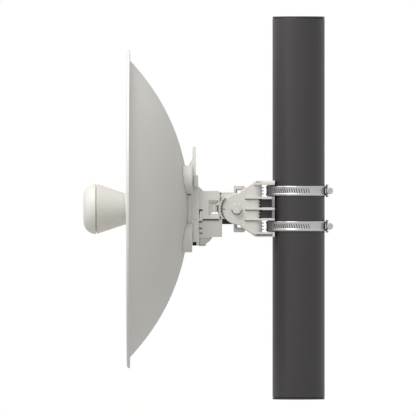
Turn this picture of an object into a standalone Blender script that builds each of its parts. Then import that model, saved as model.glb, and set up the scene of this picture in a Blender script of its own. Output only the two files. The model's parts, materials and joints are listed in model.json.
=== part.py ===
"""Small dish antenna with its pole bracket, worm-drive clamps and pole stub.

Frame: +Z up, origin at the centre of the pole's foot, the dish faces -X.
The head tilts about the pivot bolt (along Y) and the bracket swivels round the pole (Z).
"""
import math

import bmesh
import bpy
from mathutils import Matrix, Vector

MM = 0.001
GAP = 0.3 * MM

# Pole stub
POLE_RADIUS = 34.4 * MM
POLE_WALL = 3.0 * MM
POLE_HEIGHT = 504.5 * MM
PLUG_LIP = 2.2 * MM
PLUG_SPIGOT = 16.0 * MM
POLE_STEPS = 64

# Places that the whole antenna is laid out from
AXIS_Z = 251.0 * MM
PIVOT_X = -81.6 * MM

# Reflector: the back surface is x = apex - bow * r^2 - flare * r^4
DISH_RADIUS = 210.0 * MM
DISH_APEX_X = -144.1 * MM
DISH_BOW = 1.6947
DISH_FLARE = 8.987
DISH_SHEET = 1.8 * MM
DISH_SHELL_RADIUS = 196.8 * MM
RIM_FRONT_X = -226.3 * MM
RIM_BACK_X = -222.3 * MM
DISH_STEPS = 64
DISH_RINGS = 9

# Feed
FEED_RADIUS = 33.3 * MM
FEED_FRONT_X = -283.6 * MM
FEED_SEAM_X = -267.2 * MM
FEED_CAP_ROUND = 17.0 * MM
FEED_NECK_RADIUS = 20.9 * MM
FEED_CONE_END_X = -234.7 * MM
FEED_CONE_END_RADIUS = 22.3 * MM
FEED_CONE_BLEND = 3.0 * MM
FEED_NECK_X = -229.1 * MM
FEED_COLLAR_RADIUS = 31.0 * MM
FEED_COLLAR_DEPTH = 8.0 * MM
FEED_COLLAR_WALL = 3.0 * MM
FEED_COLLAR_EDGE = 1.5 * MM
FEED_STEPS = 40

# Hub behind the reflector: four round lobes with a narrower waist between them
HUB_FRONT_X = -162.0 * MM
HUB_BACK_X = -140.2 * MM
LOBE_RADIUS = 18.3 * MM
LOBE_Y = 36.5 * MM
LOBE_Z = 38.7 * MM
HUB_WAIST_WIDTH = 33.0 * MM
HUB_REACH = 72.0 * MM

# Plate on the hub's back, with its feet, seal and lock
PLATE_FRONT_X = HUB_BACK_X + GAP
PLATE_BACK_X = -132.3 * MM
PLATE_TOP_Z = 289.0 * MM
PLATE_FOOT_Z = 202.7 * MM
PLATE_WIDTH = 33.0 * MM
FOOT_X = (-139.5 * MM, -132.7 * MM)
FOOT_Z = (207.6 * MM, 232.4 * MM)
FOOT_TIP_X = -135.9 * MM
FOOT_TAPER_Z = (223.5 * MM, 227.0 * MM)
FOOT_WIDTH = PLATE_WIDTH + 3.5 * MM
SEAL_RIGHT_X = -134.5 * MM
SEAL_TOP_Z = 207.0 * MM
SEAL_WIDTH = 24.0 * MM
TAB_LEFT_X = -139.9 * MM
TAB_RIGHT_X = -135.4 * MM
TAB_TOP_Z = 333.1 * MM
TAB_CHAMFER = 1.1 * MM
TAB_WIDTH = 9.0 * MM
GUSSET_X = -144.8 * MM
GUSSET_Z = (308.5 * MM, 318.0 * MM)
BOSS_X = (-139.1 * MM, -132.5 * MM)
BOSS_Z = (279.2 * MM, 296.1 * MM)
BOSS_DEPTH = 6.2 * MM
BOSS_CHAMFER = 1.3 * MM

# Housing behind the hub
HOUSING_RIGHT_X = -104.6 * MM
HOUSING_LEFT_X = PLATE_BACK_X + GAP
HOUSING_TOP_Z = 274.9 * MM
HOUSING_FOOT_Z = 237.7 * MM
HOUSING_SHOULDER_X = -125.8 * MM
HOUSING_SHOULDER_Z = 281.0 * MM
HOUSING_STEP_X = -127.2 * MM
HOUSING_WIDTH = 30.0 * MM
WINDOW_OUTER = (-119.1 * MM, -105.4 * MM, 241.1 * MM, 262.6 * MM)
WINDOW_INNER = (-114.9 * MM, -106.4 * MM, 244.3 * MM, 258.4 * MM)
WINDOW_BEVEL = 5.0 * MM
LATCH_WIDTH = 26.0 * MM
NOTCH_X = (-131.2 * MM, -126.8 * MM)
NOTCH_HEIGHT = 1.8 * MM
NOTCH_DEPTH = 2.8 * MM
HOUSING_NOTCHES = (249.4 * MM,)
COVER_NOTCHES = (233.0 * MM, 225.2 * MM, 219.0 * MM)
COVER_RIGHT_X = -101.0 * MM
COVER_TOP_Z = 236.3 * MM
COVER_FOOT_Z = 214.1 * MM
COVER_WIDTH = 28.0 * MM
COVER_CHAMFER = 0.8 * MM
LINER_X = (-126.7 * MM, -100.8 * MM)
LINER_SHEET_WIDTH = 27.6 * MM
LINER_WIDTH = 14.0 * MM
LINER_FOOT_Z = 230.9 * MM
OUTLET_X = -127.3 * MM
OUTLET_FOOT_Z = 202.6 * MM
OUTLET_RADIUS = 13.9 * MM
OUTLET_CURVE = 1.33
OUTLET_BORE = 4.2 * MM
OUTLET_ROOF = 2.0 * MM
CABLE_HOLE = 3.2 * MM
GROMMET_LIP = 0.4 * MM

# Tilt arm and its pivot
ARM_TOP_Z = 273.3 * MM
ARM_STEP = 2.8 * MM
ARM_STEP_FOOTS = (5.0 * MM, 7.0 * MM)
ARM_WIDTH = 15.0 * MM
ARM_STEP_WIDTHS = (12.0 * MM, 8.0 * MM)
YOKE_LEFT_X = -85.1 * MM
YOKE_RIGHT_X = -70.3 * MM
YOKE_HALF_HEIGHT = 30.2 * MM
YOKE_WIDTH = 16.0 * MM
YOKE_CORNER = 2.5 * MM
YOKE_WINDOW_X = (-80.9 * MM, -74.8 * MM)
YOKE_WINDOWS = {"upper": (260.5 * MM, 275.6 * MM), "lower": (226.4 * MM, 241.5 * MM)}
SCALE_RADIUS = 22.6 * MM
SCALE_OUTER_Y = 20.4 * MM
SCALE_INNER_Y = 15.3 * MM
BARREL_RADIUS = 12.0 * MM
BOLT_RADIUS = 4.0 * MM
BOLT_HEAD_RADIUS = 7.5 * MM
BOLT_HEAD_HEIGHT = 5.3 * MM
BOLT_END = 3.0 * MM
BOLT_CHAMFER = 1.0 * MM
WASHER_RADIUS = 8.4 * MM
WASHER_THICK = 1.6 * MM
NUT_HEIGHT = 6.5 * MM

# Pole bracket
CHEEK_OUTER_Y = 26.0 * MM
CHEEK_INNER_Y = 21.0 * MM
NOSE_RADIUS = 21.0 * MM
NOSE_OFFSET = 1.7 * MM
FLARE = [(5.9 * MM, 24.0 * MM), (10.9 * MM, 27.5 * MM), (22.9 * MM, 35.6 * MM)]
FLARE_END = 25.5 * MM
RIB_OUTER_Y = 28.4 * MM
RIB_TAPER = 2.5 * MM
BRACKET_WALL_LEFT_X = -56.5 * MM
BRACKET_WALL_RIGHT_X = -48.4 * MM
BRACKET_ROUND = 10.0 * MM
BRACKET_RIGHT_X = -31.4 * MM
BRACKET_TOP_Z = 288.4 * MM
BRACKET_FOOT_Z = 214.0 * MM
TOP_PLATE_Z = 283.0 * MM
FOOT_PLATE_Z = 220.4 * MM
RIB_LEFT_X = -71.0 * MM
RIB_LEVELS = ((264.3 * MM, 267.1 * MM), (249.9 * MM, 252.5 * MM), (235.9 * MM, 238.4 * MM))
PLATE_RIB_LEFT_X = -60.0 * MM
PLATE_RIB_HEIGHT = 2.3 * MM
POST_LEFT_X = -34.6 * MM
POST_INNER_Y = 15.6 * MM
PAD_WIDTH = 24.0 * MM

# Clamp bands
BAND_THICK = 0.7 * MM
BAND_WIDTH = 12.9 * MM
BAND_LEVELS = {"upper": 274.8 * MM, "lower": 228.2 * MM}
BAND_CROSSING_X = -42.0 * MM
BAND_CORNER = 3.0 * MM
BAND_CORNER_Y = 13.0 * MM
BLOCK_CORNER = 2.3 * MM
TOOTH_PITCH = 4.0 * MM
TOOTH_HEIGHT = 1.4 * MM
TOOTH_WIDTH = 17.0 * MM
TOOTH_TIP_X = -45.8 * MM
CLAMP_BASE_THICK = 2.4 * MM
CLAMP_BASE_WIDTH = 9.0 * MM
CLAMP_BASE_HEIGHT = 8.4 * MM
TUNNEL_RADIUS = 4.5 * MM
TUNNEL_WIDTH = 8.0 * MM
SCREW_X = 41.0 * MM
SCREW_RADIUS = 3.0 * MM
SCREW_HEAD_RADIUS = 4.2 * MM
SCREW_HEAD_HEIGHT = 5.5 * MM
SCREW_HEAD_CHAMFER = 0.6 * MM
SCREW_END_Y = 9.5 * MM

PALE_PLASTIC = ("pale_plastic", (0.66, 0.65, 0.61), 0.45, 0.0)
WHITE_PLASTIC = ("white_plastic", (0.86, 0.85, 0.81), 0.4, 0.0)
PAINTED_SHEET = ("painted_sheet", (0.70, 0.69, 0.66), 0.45, 0.0)
DARK_RUBBER = ("dark_rubber", (0.03, 0.028, 0.03), 0.7, 0.0)
STEEL = ("steel", (0.60, 0.60, 0.61), 0.25, 1.0)
POLE_PAINT = ("pole_paint", (0.075, 0.068, 0.072), 0.5, 0.0)


def make_material(node_name, look):
    """A Principled material of the node's own, with one of the looks above."""
    name, colour, roughness, metallic = look
    material = bpy.data.materials.new(node_name + "_" + name)
    material.use_nodes = True
    shader = material.node_tree.nodes["Principled BSDF"]
    shader.inputs["Base Color"].default_value = (*colour, 1.0)
    shader.inputs["Roughness"].default_value = roughness
    shader.inputs["Metallic"].default_value = metallic
    return material


def make_object(name, bm, look=None, pivot=None):
    """Turn a bmesh into an object; a look makes it a node, none makes it a hidden tool."""
    bmesh.ops.recalc_face_normals(bm, faces=bm.faces)
    mesh = bpy.data.meshes.new(name)
    if pivot is not None:
        bmesh.ops.translate(bm, verts=bm.verts, vec=-pivot)
    bm.to_mesh(mesh)
    bm.free()
    obj = bpy.data.objects.new(name, mesh)
    bpy.context.collection.objects.link(obj)
    if pivot is not None:
        obj.location = pivot
    if look is None:
        obj.hide_render = True
        obj.display_type = "WIRE"
        return obj
    obj.data.materials.append(make_material(name, look))
    mesh.shade_smooth()
    mesh.set_sharp_from_angle(angle=math.radians(35))
    return obj


def combine(target, operation, tools):
    """Union with, cut by or keep only what lies inside each tool object."""
    for tool in tools:
        modifier = target.modifiers.new(tool.name, "BOOLEAN")
        modifier.operation = operation
        modifier.solver = "EXACT"
        modifier.object = tool
        tool.hide_render = True
        tool.display_type = "WIRE"


def box(x_range, y_range, z_range, chamfer=0.0):
    """A block between two corners, its edges chamfered where asked."""
    bm = bmesh.new()
    low = Vector((x_range[0], y_range[0], z_range[0]))
    high = Vector((x_range[1], y_range[1], z_range[1]))
    place = Matrix.Translation((low + high) / 2) @ Matrix.Diagonal((*(high - low), 1.0))
    bmesh.ops.create_cube(bm, size=1.0, matrix=place)
    if chamfer > 0.0:
        bmesh.ops.bevel(bm, geom=bm.edges[:], offset=chamfer, affect="EDGES",
                        segments=1, profile=0.5, material=-1)
    return bm


def extruded(outline, axis, low, high):
    """A flat outline pushed from low to high along one axis.

    The outline's pairs are (x, z) for Y, (x, y) for Z and (y, z) for X.
    """
    def place(pair, level):
        first, second = pair
        if axis == "X":
            return Vector((level, first, second))
        if axis == "Y":
            return Vector((first, level, second))
        return Vector((first, second, level))

    bm = bmesh.new()
    face = bm.faces.new([bm.verts.new(place(pair, low)) for pair in outline])
    pushed = bmesh.ops.extrude_face_region(bm, geom=[face])
    new_verts = [item for item in pushed["geom"] if isinstance(item, bmesh.types.BMVert)]
    bmesh.ops.translate(bm, verts=new_verts, vec=place((0.0, 0.0), high) - place((0.0, 0.0), low))
    return bm


def turned(profile, axis, centre, steps):
    """Spin (along, radius) pairs about an axis through centre, ring or closed to the axis."""
    direction = {"X": Vector((1, 0, 0)), "Y": Vector((0, 1, 0)), "Z": Vector((0, 0, 1))}[axis]
    side = {"X": Vector((0, 0, 1)), "Y": Vector((1, 0, 0)), "Z": Vector((1, 0, 0))}[axis]
    bm = bmesh.new()
    verts = [bm.verts.new(centre + direction * along + side * radius) for along, radius in profile]
    edges = [bm.edges.new(pair) for pair in zip(verts, verts[1:])]
    if profile[0][1] > 0.0:
        edges.append(bm.edges.new((verts[-1], verts[0])))
    bmesh.ops.spin(bm, geom=verts + edges, cent=centre, axis=direction, angle=math.tau,
                   steps=steps, use_merge=True, use_duplicate=False)
    bmesh.ops.remove_doubles(bm, verts=bm.verts, dist=0.001 * MM)
    return bm


def arc(centre, radius, start, end, steps):
    """Points on a circle, with angles in degrees."""
    points = []
    for step in range(steps + 1):
        angle = math.radians(start + (end - start) * step / steps)
        points.append((centre[0] + radius * math.cos(angle), centre[1] + radius * math.sin(angle)))
    return points


def mirrored(points):
    """The outline's second half: the same points with the second value negated, reversed."""
    return [(first, -second) for first, second in reversed(points)]


def shifted(points, first_offset, second_offset):
    """An outline moved in its own plane."""
    return [(first + first_offset, second + second_offset) for first, second in points]


def dish_back(radius):
    """Where the reflector's back surface lies along X at a distance from its axis."""
    return DISH_APEX_X - DISH_BOW * radius ** 2 - DISH_FLARE * radius ** 4


def dish_slope(radius):
    """How fast the back surface falls away, dx/dr."""
    return -2.0 * DISH_BOW * radius - 4.0 * DISH_FLARE * radius ** 3


def sheet_front(radius):
    """The point on the reflector's front opposite the back surface at a radius."""
    slope = dish_slope(radius)
    length = math.hypot(1.0, slope)
    return (dish_back(radius) - DISH_SHEET / length, radius + slope * DISH_SHEET / length)


def dish_centre():
    return Vector((0.0, 0.0, AXIS_Z))


def make_pole():
    """The steel tube and the flush plugs that close its two ends."""
    base = Vector((0.0, 0.0, 0.0))
    inner = POLE_RADIUS - POLE_WALL
    low = PLUG_LIP + GAP
    high = POLE_HEIGHT - PLUG_LIP - GAP
    tube = [(low, POLE_RADIUS), (high, POLE_RADIUS), (high, inner), (low, inner)]
    make_object("pole_tube", turned(tube, "Z", base, POLE_STEPS), POLE_PAINT, base)
    spigot = inner - GAP
    foot = [(0.0, 0.0), (0.0, POLE_RADIUS), (PLUG_LIP, POLE_RADIUS), (PLUG_LIP, spigot),
            (PLUG_LIP + PLUG_SPIGOT, spigot), (PLUG_LIP + PLUG_SPIGOT, 0.0)]
    make_object("pole_foot_plug", turned(foot, "Z", base, POLE_STEPS), DARK_RUBBER, base)
    top = [(POLE_HEIGHT - along, radius) for along, radius in foot]
    make_object("pole_top_plug", turned(top, "Z", base, POLE_STEPS), DARK_RUBBER, base)


def make_reflector(pivot):
    """The pressed dish with its flat rim and rolled edge, open at the feed."""
    hole = FEED_NECK_RADIUS + GAP
    radii = [hole + (DISH_SHELL_RADIUS - hole) * (step / DISH_RINGS) for step in range(DISH_RINGS + 1)]
    back = [(dish_back(radius), radius) for radius in radii]
    front = [sheet_front(radius) for radius in radii[1:]]
    front.insert(0, (dish_back(hole) - DISH_SHEET, hole))
    lip = (RIM_BACK_X - RIM_FRONT_X) / 2
    rolled = arc((RIM_FRONT_X + lip, DISH_RADIUS - lip), lip, 0.0, 180.0, 4)
    profile = back + rolled + [(RIM_FRONT_X, DISH_SHELL_RADIUS + 1.0 * MM)] + front[::-1]
    bm = turned(profile, "X", dish_centre(), DISH_STEPS)
    make_object("reflector", bm, PAINTED_SHEET, pivot)


def make_feed(pivot):
    """Cap, cone and neck of the feed, and the collar where it leaves the reflector."""
    middle = dish_centre()
    rounding = arc((FEED_FRONT_X + FEED_CAP_ROUND, FEED_RADIUS - FEED_CAP_ROUND),
                   FEED_CAP_ROUND, 180.0, 95.0, 7)
    cap = [(FEED_FRONT_X, 0.0)] + rounding + [(FEED_SEAM_X, FEED_RADIUS), (FEED_SEAM_X, 0.0)]
    make_object("feed_cap", turned(cap, "X", middle, FEED_STEPS), PALE_PLASTIC, pivot)

    cone_front = FEED_SEAM_X + GAP
    neck_seat = FEED_NECK_X - GAP
    cone = [(cone_front, 0.0), (cone_front, FEED_RADIUS), (FEED_CONE_END_X, FEED_CONE_END_RADIUS),
            (FEED_CONE_END_X + FEED_CONE_BLEND, FEED_NECK_RADIUS + 0.4 * MM),
            (neck_seat, FEED_NECK_RADIUS), (neck_seat, 0.0)]
    make_object("feed_cone", turned(cone, "X", middle, FEED_STEPS), PALE_PLASTIC, pivot)

    neck_end = PLATE_FRONT_X - GAP
    neck = [(FEED_NECK_X, 0.0), (FEED_NECK_X, FEED_NECK_RADIUS), (neck_end, FEED_NECK_RADIUS),
            (neck_end, 0.0)]
    make_object("feed_neck", turned(neck, "X", middle, FEED_STEPS), PALE_PLASTIC, pivot)

    inner = FEED_NECK_RADIUS + GAP
    seat = DISH_SHEET + GAP
    collar = [(dish_back(inner) - seat, inner), (dish_back(inner) - FEED_COLLAR_DEPTH, inner),
              (dish_back(inner) - FEED_COLLAR_DEPTH, inner + FEED_COLLAR_WALL),
              (dish_back(FEED_COLLAR_RADIUS) - seat - FEED_COLLAR_EDGE, FEED_COLLAR_RADIUS),
              (dish_back(FEED_COLLAR_RADIUS) - seat - 0.1 * MM, FEED_COLLAR_RADIUS)]
    make_object("feed_collar", turned(collar, "X", middle, FEED_STEPS), PALE_PLASTIC, pivot)


def hub_outline():
    """The hub seen along X: four round lobes and a narrower waist."""
    meet = math.degrees(math.acos((HUB_WAIST_WIDTH - LOBE_Y) / LOBE_RADIUS))
    upper_right = arc((LOBE_Y, LOBE_Z), LOBE_RADIUS, -meet, 90.0, 12)
    right = [(first, -second) for first, second in reversed(upper_right)] + upper_right
    left = [(-first, second) for first, second in reversed(right)]
    return shifted(right + left, 0.0, AXIS_Z)


def make_hub(pivot):
    """The lobed hub that hugs the reflector's back, and the plate, seal and lock on it."""
    hub = make_object("hub_plate", extruded(hub_outline(), "X", HUB_FRONT_X, HUB_BACK_X), PALE_PLASTIC)
    radii = [HUB_REACH * step / 5 for step in range(6)]
    keep_out = [(dish_back(radius) + GAP, radius) for radius in radii]
    beyond = HUB_FRONT_X - 10.0 * MM
    keep_out += [(beyond, HUB_REACH), (beyond, 0.0)]
    dish_cutter = make_object("hub_dish_cutter", turned(keep_out, "X", dish_centre(), DISH_STEPS))
    bore = FEED_NECK_RADIUS + GAP
    bore_profile = [(beyond, 0.0), (beyond, bore), (-130.0 * MM, bore), (-130.0 * MM, 0.0)]
    bore_cutter = make_object("hub_bore_cutter", turned(bore_profile, "X", dish_centre(), FEED_STEPS))
    combine(hub, "DIFFERENCE", [dish_cutter, bore_cutter])


def make_rear_plate(pivot):
    """The plate on the hub's back with its feet, the seal under it and the lock on top."""
    plate_outline = [(PLATE_FRONT_X, SEAL_TOP_Z + GAP), (SEAL_RIGHT_X + GAP, SEAL_TOP_Z + GAP),
                     (SEAL_RIGHT_X + GAP, PLATE_FOOT_Z), (PLATE_BACK_X, PLATE_FOOT_Z),
                     (PLATE_BACK_X, PLATE_TOP_Z), (PLATE_FRONT_X, PLATE_TOP_Z)]
    plate_shape = extruded(plate_outline, "Y", -PLATE_WIDTH, PLATE_WIDTH)
    plate = make_object("rear_plate", plate_shape, PALE_PLASTIC)
    foot_outline = [(FOOT_X[0], FOOT_Z[0]), (FOOT_X[1], FOOT_Z[0]), (FOOT_X[1], FOOT_TAPER_Z[0]),
                    (FOOT_TIP_X, FOOT_TAPER_Z[1]), (FOOT_TIP_X, FOOT_Z[1]), (FOOT_X[0], FOOT_Z[1])]
    feet = make_object("rear_plate_feet", extruded(foot_outline, "Y", -FOOT_WIDTH, FOOT_WIDTH))
    combine(plate, "UNION", [feet])
    make_object("hub_seal", box((PLATE_FRONT_X, SEAL_RIGHT_X), (-SEAL_WIDTH, SEAL_WIDTH),
                                (PLATE_FOOT_Z + 0.2 * MM, SEAL_TOP_Z)), DARK_RUBBER, pivot)

    foot = PLATE_TOP_Z + GAP
    crown = TAB_TOP_Z - TAB_CHAMFER
    tab_outline = [(TAB_LEFT_X, foot), (TAB_RIGHT_X, foot), (TAB_RIGHT_X, crown),
                   (TAB_RIGHT_X - TAB_CHAMFER, TAB_TOP_Z), (TAB_LEFT_X + TAB_CHAMFER, TAB_TOP_Z),
                   (TAB_LEFT_X, crown), (TAB_LEFT_X, GUSSET_Z[1]), (GUSSET_X, GUSSET_Z[0]),
                   (TAB_LEFT_X, GUSSET_Z[0])]
    make_object("lock_tab", extruded(tab_outline, "Y", -TAB_WIDTH, TAB_WIDTH), WHITE_PLASTIC, pivot)
    for side, name in ((-1.0, "lock_boss_near"), (1.0, "lock_boss_far")):
        seat = PLATE_WIDTH + GAP
        span = sorted((side * seat, side * (seat + BOSS_DEPTH)))
        make_object(name, box(BOSS_X, span, BOSS_Z, BOSS_CHAMFER), PALE_PLASTIC, pivot)


def window_cutter():
    """A see-through window with bevelled cheeks on both sides of the housing."""
    x_low, x_high, z_low, z_high = WINDOW_INNER
    reach = HOUSING_WIDTH + 1.0 * MM
    through = make_object("window_through_cutter", box((x_low, x_high), (-reach, reach), (z_low, z_high)))
    cutters = [through]
    for side, name in ((-1.0, "window_near_cutter"), (1.0, "window_far_cutter")):
        bm = bmesh.new()
        rings = []
        for depth, (left, right, foot, top) in ((HOUSING_WIDTH + 0.01 * MM, WINDOW_OUTER),
                                                (HOUSING_WIDTH - WINDOW_BEVEL, WINDOW_INNER)):
            corners = ((left, foot), (right, foot), (right, top), (left, top))
            rings.append([bm.verts.new((x, side * depth, z)) for x, z in corners])
        bm.faces.new(rings[0])
        bm.faces.new(rings[1][::-1])
        edges = [bm.edges.get((ring[i], ring[i - 1])) for ring in rings for i in range(4)]
        bmesh.ops.bridge_loops(bm, edges=edges)
        cutters.append(make_object(name, bm))
    return cutters


def side_notches(name, levels, width):
    """Shallow slots near the hub end, cut into both sides of a block."""
    cutters = []
    for number, level in enumerate(levels):
        for side in (-1.0, 1.0):
            span = sorted((side * (width - NOTCH_DEPTH), side * (width + 1.0 * MM)))
            z_range = (level - NOTCH_HEIGHT / 2, level + NOTCH_HEIGHT / 2)
            cutter_name = "%s_notch_%d_%s" % (name, number, "near" if side < 0 else "far")
            cutters.append(make_object(cutter_name, box(NOTCH_X, span, z_range)))
    return cutters


def make_housing(pivot):
    """The windowed block with its latch, the port cover under it and the dark liner between."""
    step_z = COVER_TOP_Z + GAP
    outline = [(HOUSING_LEFT_X, step_z), (HOUSING_STEP_X, step_z), (HOUSING_STEP_X, HOUSING_FOOT_Z),
               (HOUSING_RIGHT_X, HOUSING_FOOT_Z), (HOUSING_RIGHT_X, HOUSING_TOP_Z),
               (HOUSING_SHOULDER_X, HOUSING_TOP_Z), (HOUSING_LEFT_X, HOUSING_SHOULDER_Z)]
    block = extruded(outline, "Y", -HOUSING_WIDTH, HOUSING_WIDTH)
    housing = make_object("housing_block", block, PALE_PLASTIC)
    combine(housing, "DIFFERENCE", window_cutter())
    combine(housing, "DIFFERENCE", side_notches("housing", HOUSING_NOTCHES, HOUSING_WIDTH))
    x_low, x_high, z_low, z_high = WINDOW_INNER
    latch = box((x_low + 0.8 * MM, x_high - 1.4 * MM), (-LATCH_WIDTH, LATCH_WIDTH),
                (z_low + 2.4 * MM, z_high - GAP))
    make_object("window_latch", latch, PALE_PLASTIC, pivot)

    cover_box = box((HOUSING_LEFT_X, COVER_RIGHT_X), (-COVER_WIDTH, COVER_WIDTH),
                    (COVER_FOOT_Z, COVER_TOP_Z), COVER_CHAMFER)
    cover = make_object("port_cover", cover_box, PALE_PLASTIC)
    combine(cover, "DIFFERENCE", side_notches("cover", COVER_NOTCHES, COVER_WIDTH))

    liner_box = box((LINER_X[1], YOKE_LEFT_X - GAP), (-LINER_WIDTH, LINER_WIDTH),
                    (LINER_FOOT_Z, HOUSING_FOOT_Z - GAP))
    liner = make_object("arm_liner", liner_box, DARK_RUBBER)
    sheet_box = box((LINER_X[0], LINER_X[1] + 0.6 * MM), (-LINER_SHEET_WIDTH, LINER_SHEET_WIDTH),
                    (COVER_TOP_Z + GAP, HOUSING_FOOT_Z - 1.5 * GAP))
    combine(liner, "UNION", [make_object("arm_liner_sheet", sheet_box)])


def make_outlet():
    """The domed cable outlet under the cover, and the grommet in its bore."""
    dome_top = COVER_FOOT_Z - GAP
    rim = OUTLET_BORE + 1.0 * MM
    shoulder = []
    for step in range(7):
        angle = math.radians(90.0 * step / 6)
        depth = math.sin(angle) ** (2.0 / OUTLET_CURVE)
        reach = math.cos(angle) ** (2.0 / OUTLET_CURVE)
        shoulder.append((dome_top - (dome_top - OUTLET_FOOT_Z) * depth, rim + (OUTLET_RADIUS - rim) * reach))
    roof = dome_top - OUTLET_ROOF
    profile = [(dome_top, 0.0)] + shoulder + [(OUTLET_FOOT_Z, OUTLET_BORE), (roof, OUTLET_BORE), (roof, 0.0)]
    outlet_axis = Vector((OUTLET_X, 0.0, 0.0))
    outlet = make_object("cable_outlet", turned(profile, "Z", outlet_axis, 32), PALE_PLASTIC)
    trim_box = box((-150.0 * MM, HOUSING_LEFT_X), (-20.0 * MM, 20.0 * MM), (195.0 * MM, 220.0 * MM))
    combine(outlet, "DIFFERENCE", [make_object("outlet_trim_cutter", trim_box)])
    grommet_radius = OUTLET_BORE - GAP
    foot = OUTLET_FOOT_Z - GROMMET_LIP
    grommet = [(foot, grommet_radius), (roof - GAP, grommet_radius),
               (roof - GAP, CABLE_HOLE), (foot, CABLE_HOLE)]
    make_object("cable_grommet", turned(grommet, "Z", outlet_axis, 20), DARK_RUBBER)


def make_tilt_arm():
    """The arm between the cheeks: stepped beam, upright yoke and two scale discs."""
    left = HOUSING_RIGHT_X + GAP
    foot = HOUSING_FOOT_Z + 0.1 * MM
    beam = box((left, YOKE_LEFT_X + 4.0 * MM), (-ARM_WIDTH, ARM_WIDTH), (foot, ARM_TOP_Z - 2 * ARM_STEP))
    arm = make_object("tilt_arm", beam, PALE_PLASTIC)
    parts = []
    for number, name in enumerate(("arm_step", "arm_crest")):
        width = ARM_STEP_WIDTHS[number]
        right = YOKE_LEFT_X + (5.0 + number) * MM
        z_range = (foot + ARM_STEP_FOOTS[number], ARM_TOP_Z - (1 - number) * ARM_STEP)
        parts.append(make_object(name, box((left, right), (-width, width), z_range)))
    half = YOKE_HALF_HEIGHT
    top_half = [(YOKE_RIGHT_X, half - YOKE_CORNER), (YOKE_RIGHT_X - YOKE_CORNER, half), (YOKE_LEFT_X, half)]
    yoke_outline = shifted(mirrored(top_half) + top_half, 0.0, AXIS_Z)
    parts.append(make_object("arm_yoke", extruded(yoke_outline, "Y", -YOKE_WIDTH, YOKE_WIDTH)))
    pivot_line = Vector((PIVOT_X, 0.0, AXIS_Z))
    disc_half = [(SCALE_INNER_Y, BARREL_RADIUS), (SCALE_INNER_Y, SCALE_RADIUS),
                 (SCALE_OUTER_Y, SCALE_RADIUS), (SCALE_OUTER_Y, 0.0)]
    disc_profile = [(-along, radius) for along, radius in reversed(disc_half)] + disc_half
    parts.append(make_object("arm_discs", turned(disc_profile, "Y", pivot_line, 40)))
    combine(arm, "UNION", parts)
    bore = BOLT_RADIUS + GAP
    reach = 40.0 * MM
    bore_profile = [(-reach, 0.0), (-reach, bore), (reach, bore), (reach, 0.0)]
    cutters = [make_object("arm_bore_cutter", turned(bore_profile, "Y", pivot_line, 24))]
    for name, z_range in YOKE_WINDOWS.items():
        opening = box(YOKE_WINDOW_X, (-reach, reach), z_range)
        cutters.append(make_object("arm_window_" + name, opening))
    combine(arm, "DIFFERENCE", cutters)


def hexagon_profile(radius):
    """Corners of a hexagon with two of them level with its middle, as (x, z) pairs."""
    return arc((0.0, 0.0), radius, 0.0, 300.0, 5)


def make_pivot():
    """Hex bolt through both cheeks, with washer and nut on the far side."""
    pivot_line = Vector((PIVOT_X, 0.0, AXIS_Z))
    head_seat = -CHEEK_OUTER_Y - GAP
    washer_seat = CHEEK_OUTER_Y + GAP
    nut_seat = washer_seat + WASHER_THICK + GAP
    shank_end = nut_seat + NUT_HEIGHT + BOLT_END
    head_outline = shifted(hexagon_profile(BOLT_HEAD_RADIUS), PIVOT_X, AXIS_Z)
    head = extruded(head_outline, "Y", head_seat - BOLT_HEAD_HEIGHT, head_seat)
    bolt = make_object("pivot_bolt", head, STEEL)
    shank_profile = [(head_seat - 1.0 * MM, 0.0), (head_seat - 1.0 * MM, BOLT_RADIUS),
                     (shank_end - BOLT_CHAMFER, BOLT_RADIUS), (shank_end, BOLT_RADIUS - BOLT_CHAMFER),
                     (shank_end, 0.0)]
    shank = make_object("pivot_bolt_shank", turned(shank_profile, "Y", pivot_line, 24))
    combine(bolt, "UNION", [shank])
    hole = BOLT_RADIUS + GAP
    washer_profile = [(washer_seat, hole), (washer_seat, WASHER_RADIUS),
                      (washer_seat + WASHER_THICK, WASHER_RADIUS), (washer_seat + WASHER_THICK, hole)]
    make_object("pivot_washer", turned(washer_profile, "Y", pivot_line, 28), STEEL)
    nut = make_object("pivot_nut", extruded(head_outline, "Y", nut_seat, nut_seat + NUT_HEIGHT), STEEL)
    beyond = nut_seat + NUT_HEIGHT + 5.0 * MM
    bore_profile = [(0.0, 0.0), (0.0, hole), (beyond, hole), (beyond, 0.0)]
    combine(nut, "DIFFERENCE", [make_object("nut_bore_cutter", turned(bore_profile, "Y", pivot_line, 24))])


def cheek_outline():
    """Side view of the bracket: a round nose that flares to the plates at the pole."""
    nose = arc((NOSE_OFFSET, 0.0), NOSE_RADIUS, 82.0, 180.0, 11)
    rise = BRACKET_TOP_Z - AXIS_Z
    drop = BRACKET_FOOT_Z - AXIS_Z
    upper = [(60.0 * MM, rise), (FLARE_END, rise)] + FLARE[::-1] + nose
    lower = [(60.0 * MM, drop), (FLARE_END, drop)]
    lower += [(first, -second) for first, second in FLARE[::-1] + nose[:-1]]
    return shifted(upper + lower[::-1], PIVOT_X, AXIS_Z)


def channel_outline():
    """Plan view of the bracket: two cheeks joined by a wall with rounded outer corners."""
    round_x = BRACKET_WALL_RIGHT_X - BRACKET_ROUND
    round_y = CHEEK_OUTER_Y - BRACKET_ROUND
    inner_x = BRACKET_WALL_LEFT_X
    half = [(-110.0 * MM, CHEEK_INNER_Y), (-110.0 * MM, CHEEK_OUTER_Y)]
    half += arc((round_x, round_y), BRACKET_ROUND, 90.0, 0.0, 6)
    inner = [(inner_x - 1.5 * MM, CHEEK_INNER_Y), (inner_x, CHEEK_INNER_Y - 1.5 * MM)]
    return half + mirrored(half) + mirrored(inner[::-1]) + inner[::-1]


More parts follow.
